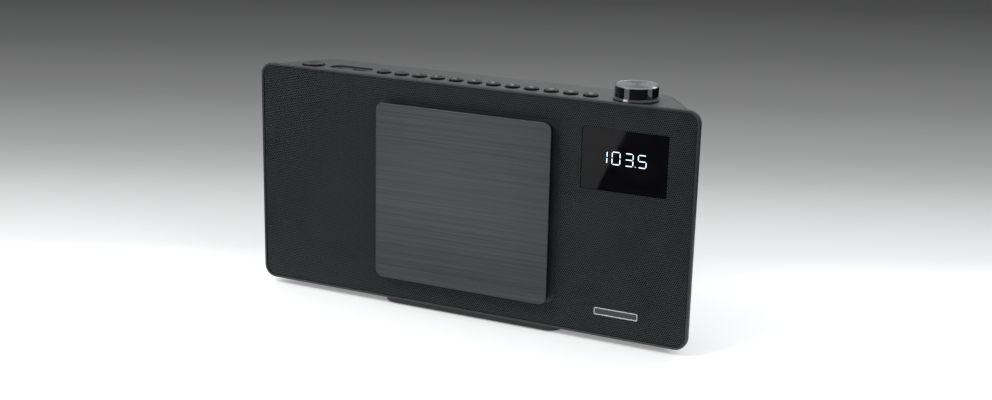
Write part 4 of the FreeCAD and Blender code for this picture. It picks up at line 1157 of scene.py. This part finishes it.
@dataclass
class Screws:
    """The case screws: six in the back of the cover and four under the foot."""

    head_radius: float = 2.8 * MM
    head_height: float = 1.8 * MM
    chamfer: float = 0.5 * MM
    shank_radius: float = 1.5 * MM
    slot: tuple[float, float, float] = (3.3 * MM, 0.7 * MM, 1.0 * MM)
    cover_length: float = 44.3 * MM
    foot_length: float = 9.0 * MM
    cover_places: tuple[Point, ...] = (
        (-133 * MM, 170.7 * MM), (0.0, 170.7 * MM), (133 * MM, 170.7 * MM),
        (-133 * MM, 16 * MM), (0.0, 16 * MM), (133 * MM, 16 * MM))
    foot_places: tuple[Point, ...] = (
        (-64.5 * MM, -10.25 * MM), (64.5 * MM, -10.25 * MM),
        (-64.5 * MM, 17.75 * MM), (64.5 * MM, 17.75 * MM))
    sides: int = 24
    seed: int = 7

    def _tree(self) -> bpy.types.NodeTree:
        """Build the nodes that put a screw with a cross slot on every point.

        Returns:
            The Geometry Nodes.
        """
        takes = {"Geometry": "Geometry", "Head Radius": "Float", "Head Height": "Float",
                 "Chamfer": "Float", "Shank Radius": "Float", "Length": "Float",
                 "Slot": "Vector", "Aim": "Vector", "Finish": "Material"}
        wiring, given, out = new_group("cross screw", "GeometryNodeTree", takes,
                                       {"Geometry": "Geometry"})
        radius, chamfer = given.outputs["Head Radius"], given.outputs["Chamfer"]

        def down(mesh: Socket, top: Socket) -> Socket:
            """Move a mesh along its own axis.

            Args:
                mesh: the mesh.
                top: how far it moves up.

            Returns:
                The moved mesh.
            """
            offset = wiring.add("ShaderNodeCombineXYZ", {2: top}).outputs[0]
            return wiring.add("GeometryNodeTransform", {"Geometry": mesh,
                                                        "Translation": offset}).outputs[0]

        def rod(size: Socket, length: Socket) -> Socket:
            """Make a cylinder from height 0 down.

            Args:
                size: its radius.
                length: its length.

            Returns:
                Its mesh.
            """
            whole = wiring.add("GeometryNodeMeshCylinder", {"Vertices": self.sides,
                                                            "Radius": size, "Depth": length})
            return down(whole.outputs["Mesh"], wiring.maths("MULTIPLY", length, -0.5))

        reach = wiring.maths("ADD", given.outputs["Head Height"], chamfer)
        depth = wiring.maths("MULTIPLY", reach, 2.0)
        bevel = wiring.add("GeometryNodeMeshCone", {
            "Vertices": self.sides, "Depth": depth,
            "Radius Top": wiring.maths("SUBTRACT", radius, wiring.maths("ADD", reach, chamfer)),
            "Radius Bottom": wiring.maths("ADD", radius, wiring.maths("SUBTRACT", reach, chamfer))})
        lowered = down(bevel.outputs["Mesh"], wiring.maths("MULTIPLY", reach, -1.0))
        head = wiring.add("GeometryNodeMeshBoolean", operation="INTERSECT", solver="EXACT")
        for part in (rod(radius, given.outputs["Head Height"]), lowered):
            wiring.tree.links.new(part, head.inputs["Mesh 2"])
        shank = rod(given.outputs["Shank Radius"], given.outputs["Length"])
        sunk = down(shank, wiring.maths("MULTIPLY", chamfer, -2.0))
        whole = wiring.add("GeometryNodeMeshBoolean", operation="UNION", solver="EXACT")
        for part in (head.outputs["Mesh"], sunk):
            wiring.tree.links.new(part, whole.inputs["Mesh 2"])
        bar = wiring.add("GeometryNodeMeshCube", {"Size": given.outputs["Slot"]})
        crossed = wiring.add("GeometryNodeTransform", {"Geometry": bar.outputs["Mesh"],
                             "Rotation": (0.0, 0.0, math.radians(90))})
        cut = wiring.add("GeometryNodeMeshBoolean", {"Mesh 1": whole.outputs["Mesh"]},
                         operation="DIFFERENCE", solver="EXACT")
        for part in (bar.outputs["Mesh"], crossed.outputs[0]):
            wiring.tree.links.new(part, cut.inputs["Mesh 2"])
        twist = wiring.add("FunctionNodeRandomValue", {"Min": (0.0, 0.0, 0.0),
                           "Max": (0.0, 0.0, math.pi), "Seed": self.seed},
                           data_type="FLOAT_VECTOR")
        placed = wiring.add("GeometryNodeInstanceOnPoints",
                            {"Points": given.outputs["Geometry"], "Instance": cut.outputs["Mesh"],
                             "Rotation": given.outputs["Aim"]})
        turned = wiring.add("GeometryNodeRotateInstances", {"Instances": placed.outputs[0],
                            "Rotation": twist.outputs["Value"]})
        real = wiring.add("GeometryNodeRealizeInstances", {"Geometry": turned.outputs[0]})
        dressed = wiring.add("GeometryNodeSetMaterial", {"Geometry": real.outputs[0],
                                                         "Material": given.outputs["Finish"]})
        wiring.tree.links.new(dressed.outputs[0], out.inputs[0])
        return wiring.tree

    def _drive(self, tree: bpy.types.NodeTree, name: str, points: list[tuple[float, ...]],
               length: float, aim: tuple[float, float, float], wardrobe: Wardrobe) -> None:
        """Make one group of screws.

        Args:
            tree: the tree that makes them.
            name: the piece's name.
            points: where the tops of their heads are.
            length: from the top of a head to its screw's tip.
            aim: rotation that turns +Z to the way the heads face.
            wardrobe: where the finish comes from.
        """
        mesh = bpy.data.meshes.new(name)
        mesh.from_pydata(points, [], [])
        item = link(name, mesh)
        values = {"Head Radius": self.head_radius, "Head Height": self.head_height,
                  "Chamfer": self.chamfer, "Shank Radius": self.shank_radius,
                  "Length": length - 2 * self.chamfer, "Slot": self.slot, "Aim": aim,
                  "Finish": wardrobe.material(FINISHES["screw"])}
        grow(item, tree, values)
        finish_piece(item, CABINET, "screw", "case_screws")

    def build(self, wardrobe: Wardrobe) -> None:
        """Drive the screws of the cover and of the foot.

        Args:
            wardrobe: where the finish comes from.
        """
        tree = self._tree()
        low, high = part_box("case_screws")
        quarter = math.radians(90)
        self._drive(tree, "cover_screws", [(x, high.y, z) for x, z in self.cover_places],
                    self.cover_length, (-quarter, 0.0, 0.0), wardrobe)
        self._drive(tree, "foot_screws", [(x, y, low.z) for x, y in self.foot_places],
                    self.foot_length, (2 * quarter, 0.0, 0.0), wardrobe)


# ------------------------------------------------------------------ studio

@dataclass
class Softbox:
    """One rectangular studio lamp."""

    name: str
    place: tuple[float, float, float]
    aim: tuple[float, float, float]
    size: tuple[float, float]
    power: float

    def build(self) -> None:
        """Hang the lamp and turn it to its aim."""
        lamp = bpy.data.lights.new(self.name, "AREA")
        lamp.shape = "RECTANGLE"
        lamp.size, lamp.size_y = self.size
        lamp.energy = self.power
        item = bpy.data.objects.new(self.name, lamp)
        item.location = self.place
        item.rotation_euler = (Vector(self.aim) - item.location).to_track_quat("-Z", "Y").to_euler()
        bpy.context.scene.collection.objects.link(item)


@dataclass
class Studio:
    """Pale floor, soft light and the camera."""

    floor_half: float = 9.0
    room_light: float = 0.85
    azimuth: float = 24.954
    elevation: float = 15.4573
    roll: float = 1.3545
    place: tuple[float, float, float] = (0.48134, -0.99903, 0.39746)
    lens: float = 52.98
    sensor: float = 36.0
    softboxes: tuple[Softbox, ...] = (
        Softbox("key", (-0.7, -0.9, 1.25), (0.0, 0.0, 0.1), (0.9, 0.6), 12.0),
        Softbox("fill", (1.6, -0.9, 1.3), (0.0, 0.0, 0.1), (0.7, 1.2), 6.0),
        Softbox("back", (0.2, 1.7, 1.5), (0.0, 0.0, 0.15), (2.4, 0.7), 12.0),
    )
    # grey of the floor at each distance behind the radio: a painted falloff of light
    painted_falloff: tuple[tuple[float, float], ...] = (
        (0.06, 0.86), (0.16, 0.615), (0.33, 0.443), (0.44, 0.325), (0.546, 0.253),
        (0.835, 0.157), (1.243, 0.0965), (1.84, 0.055))
    # strength of the floor's painted glow, which washes out the shadows on it
    painted_floor_glow: float = 0.3
    painted_falloff_span: float = 2.0
    tint: Colour = (0.97, 0.985, 1.0)
    room: tuple[tuple[float, float], ...] = ((0.0, 0.25), (0.2, 0.45), (0.4, 0.62), (0.75, 1.0))
    cards: tuple[tuple[Point, ...], ...] = (
        ((-0.008, -0.267), (-0.35, -1.63), (-0.9, -6.0), (6.0, -6.0), (6.0, -0.25), (0.3, -0.2)),
        ((-0.24, -0.2), (-0.42, -0.55), (-6.0, -5.0), (-6.0, 2.0), (-0.4, 0.1)),
        ((-0.5, -0.15), (0.35, -0.15), (0.35, -0.11), (-0.5, -0.11)),
        ((0.45, 0.12), (6.0, 1.4), (6.0, 6.0), (-2.0, 6.0), (0.1, 0.5)))
    card_height: float = 0.4 * MM

    def floor(self) -> None:
        """A wide plain floor, pale at the radio and greyer further behind it: a painted falloff of
        light, with a painted glow that thins the shadows on it.
        """
        mesh = bpy.data.meshes.new("floor")
        h = self.floor_half
        mesh.from_pydata([(-h, -h, 0), (h, -h, 0), (h, h, 0), (-h, h, 0)], [], [(0, 1, 2, 3)])
        item = link("floor", mesh)
        material = bpy.data.materials.new("floor_paper_painted_light")
        material.use_nodes = True
        wiring = Wiring(material.node_tree)
        shader = material.node_tree.nodes["Principled BSDF"]
        place = wiring.add("ShaderNodeTexCoord").outputs["Object"]
        turn = math.radians(self.azimuth)
        depth = wiring.add("ShaderNodeVectorMath",
                           {0: place, 1: (-math.sin(turn), math.cos(turn), 0.0)},
                           operation="DOT_PRODUCT").outputs["Value"]
        share = wiring.spread(depth, 0.0, 1.0, 0.0, self.painted_falloff_span)
        # painted falloff: the floor's colour darkens with distance behind the radio
        ramp = wiring.add("ShaderNodeValToRGB", {0: share})
        stops = ramp.color_ramp.elements
        for index, (distance, grey) in enumerate(self.painted_falloff):
            stop = stops[index] if index < 2 else stops.new(distance / self.painted_falloff_span)
            stop.position = distance / self.painted_falloff_span
            stop.color = (grey, grey, grey, 1.0)
        # the painted falloff sets both the floor's colour and its painted glow
        wiring.tree.links.new(ramp.outputs[0], shader.inputs["Base Color"])
        wiring.tree.links.new(ramp.outputs[0], shader.inputs["Emission Color"])
        shader.inputs["Emission Strength"].default_value = self.painted_floor_glow
        shader.inputs["Roughness"].default_value = 0.9
        shader.inputs["Specular IOR Level"].default_value = 0.0
        mesh.materials.append(material)

    def black_cards(self) -> None:
        """Black cards on the floor that only glossy surfaces see, as a studio sets them."""
        material = bpy.data.materials.new("card_black")
        material.use_nodes = True
        shader = material.node_tree.nodes["Principled BSDF"]
        shader.inputs["Base Color"].default_value = (0.0, 0.0, 0.0, 1.0)
        shader.inputs["Specular IOR Level"].default_value = 0.0
        for index, outline in enumerate(self.cards):
            mesh = bpy.data.meshes.new(f"card_{index + 1}")
            mesh.from_pydata([(x, y, self.card_height) for x, y in outline], [],
                             [list(range(len(outline)))])
            mesh.materials.append(material)
            item = link(mesh.name, mesh)
            item.visible_camera = item.visible_diffuse = item.visible_shadow = False
            item.visible_transmission = item.visible_volume_scatter = False

    def world(self) -> None:
        """Soft light from above that falls off to a dark room at the horizon."""
        world = bpy.data.worlds.new("studio")
        world.use_nodes = True
        wiring = Wiring(world.node_tree)
        sky = world.node_tree.nodes["Background"]
        place = wiring.add("ShaderNodeTexCoord").outputs["Generated"]
        up = wiring.add("ShaderNodeSeparateXYZ", {0: place}).outputs[2]
        ramp = wiring.add("ShaderNodeValToRGB", {0: up})
        stops = ramp.color_ramp.elements
        for index, (height, grey) in enumerate(self.room):
            stop = stops[index] if index < 2 else stops.new(height)
            stop.position = height
            stop.color = (*(part * grey for part in self.tint), 1.0)
        wiring.tree.links.new(ramp.outputs[0], sky.inputs["Color"])
        sky.inputs["Strength"].default_value = self.room_light
        bpy.context.scene.world = world

    def camera(self) -> None:
        """The camera, at its place, turned by azimuth, elevation and roll."""
        data = bpy.data.cameras.new("camera")
        data.sensor_width = self.sensor
        data.lens = self.lens
        data.dof.use_dof = False
        item = bpy.data.objects.new("camera", data)
        turn = Euler((math.radians(90.0 - self.elevation), 0.0, math.radians(self.azimuth)), "XYZ")
        item.matrix_world = turn.to_matrix().to_4x4() @ \
            Euler((0.0, 0.0, math.radians(self.roll)), "XYZ").to_matrix().to_4x4()
        item.location = self.place
        bpy.context.scene.collection.objects.link(item)
        bpy.context.scene.camera = item

    def build(self) -> None:
        """Set up the whole studio."""
        self.floor()
        self.black_cards()
        self.world()
        self.camera()
        for softbox in self.softboxes:
            softbox.build()
        bpy.context.scene.view_settings.view_transform = "Standard"
        log.info("studio: %d lamps", len(self.softboxes))


def main() -> None:
    """Build every sub-assembly in order."""
    logging.basicConfig(level=logging.INFO, format="%(name)s: %(message)s")
    Studio().build()
    wardrobe = Wardrobe()
    wardrobe.dress_frame()
    Grille().build(wardrobe)
    DoorPanel().build(wardrobe)
    Digits().build(wardrobe)
    Badge().build(wardrobe)
    KnobCap().build(wardrobe)
    Screws().build(wardrobe)


if __name__ == "__main__":
    main()
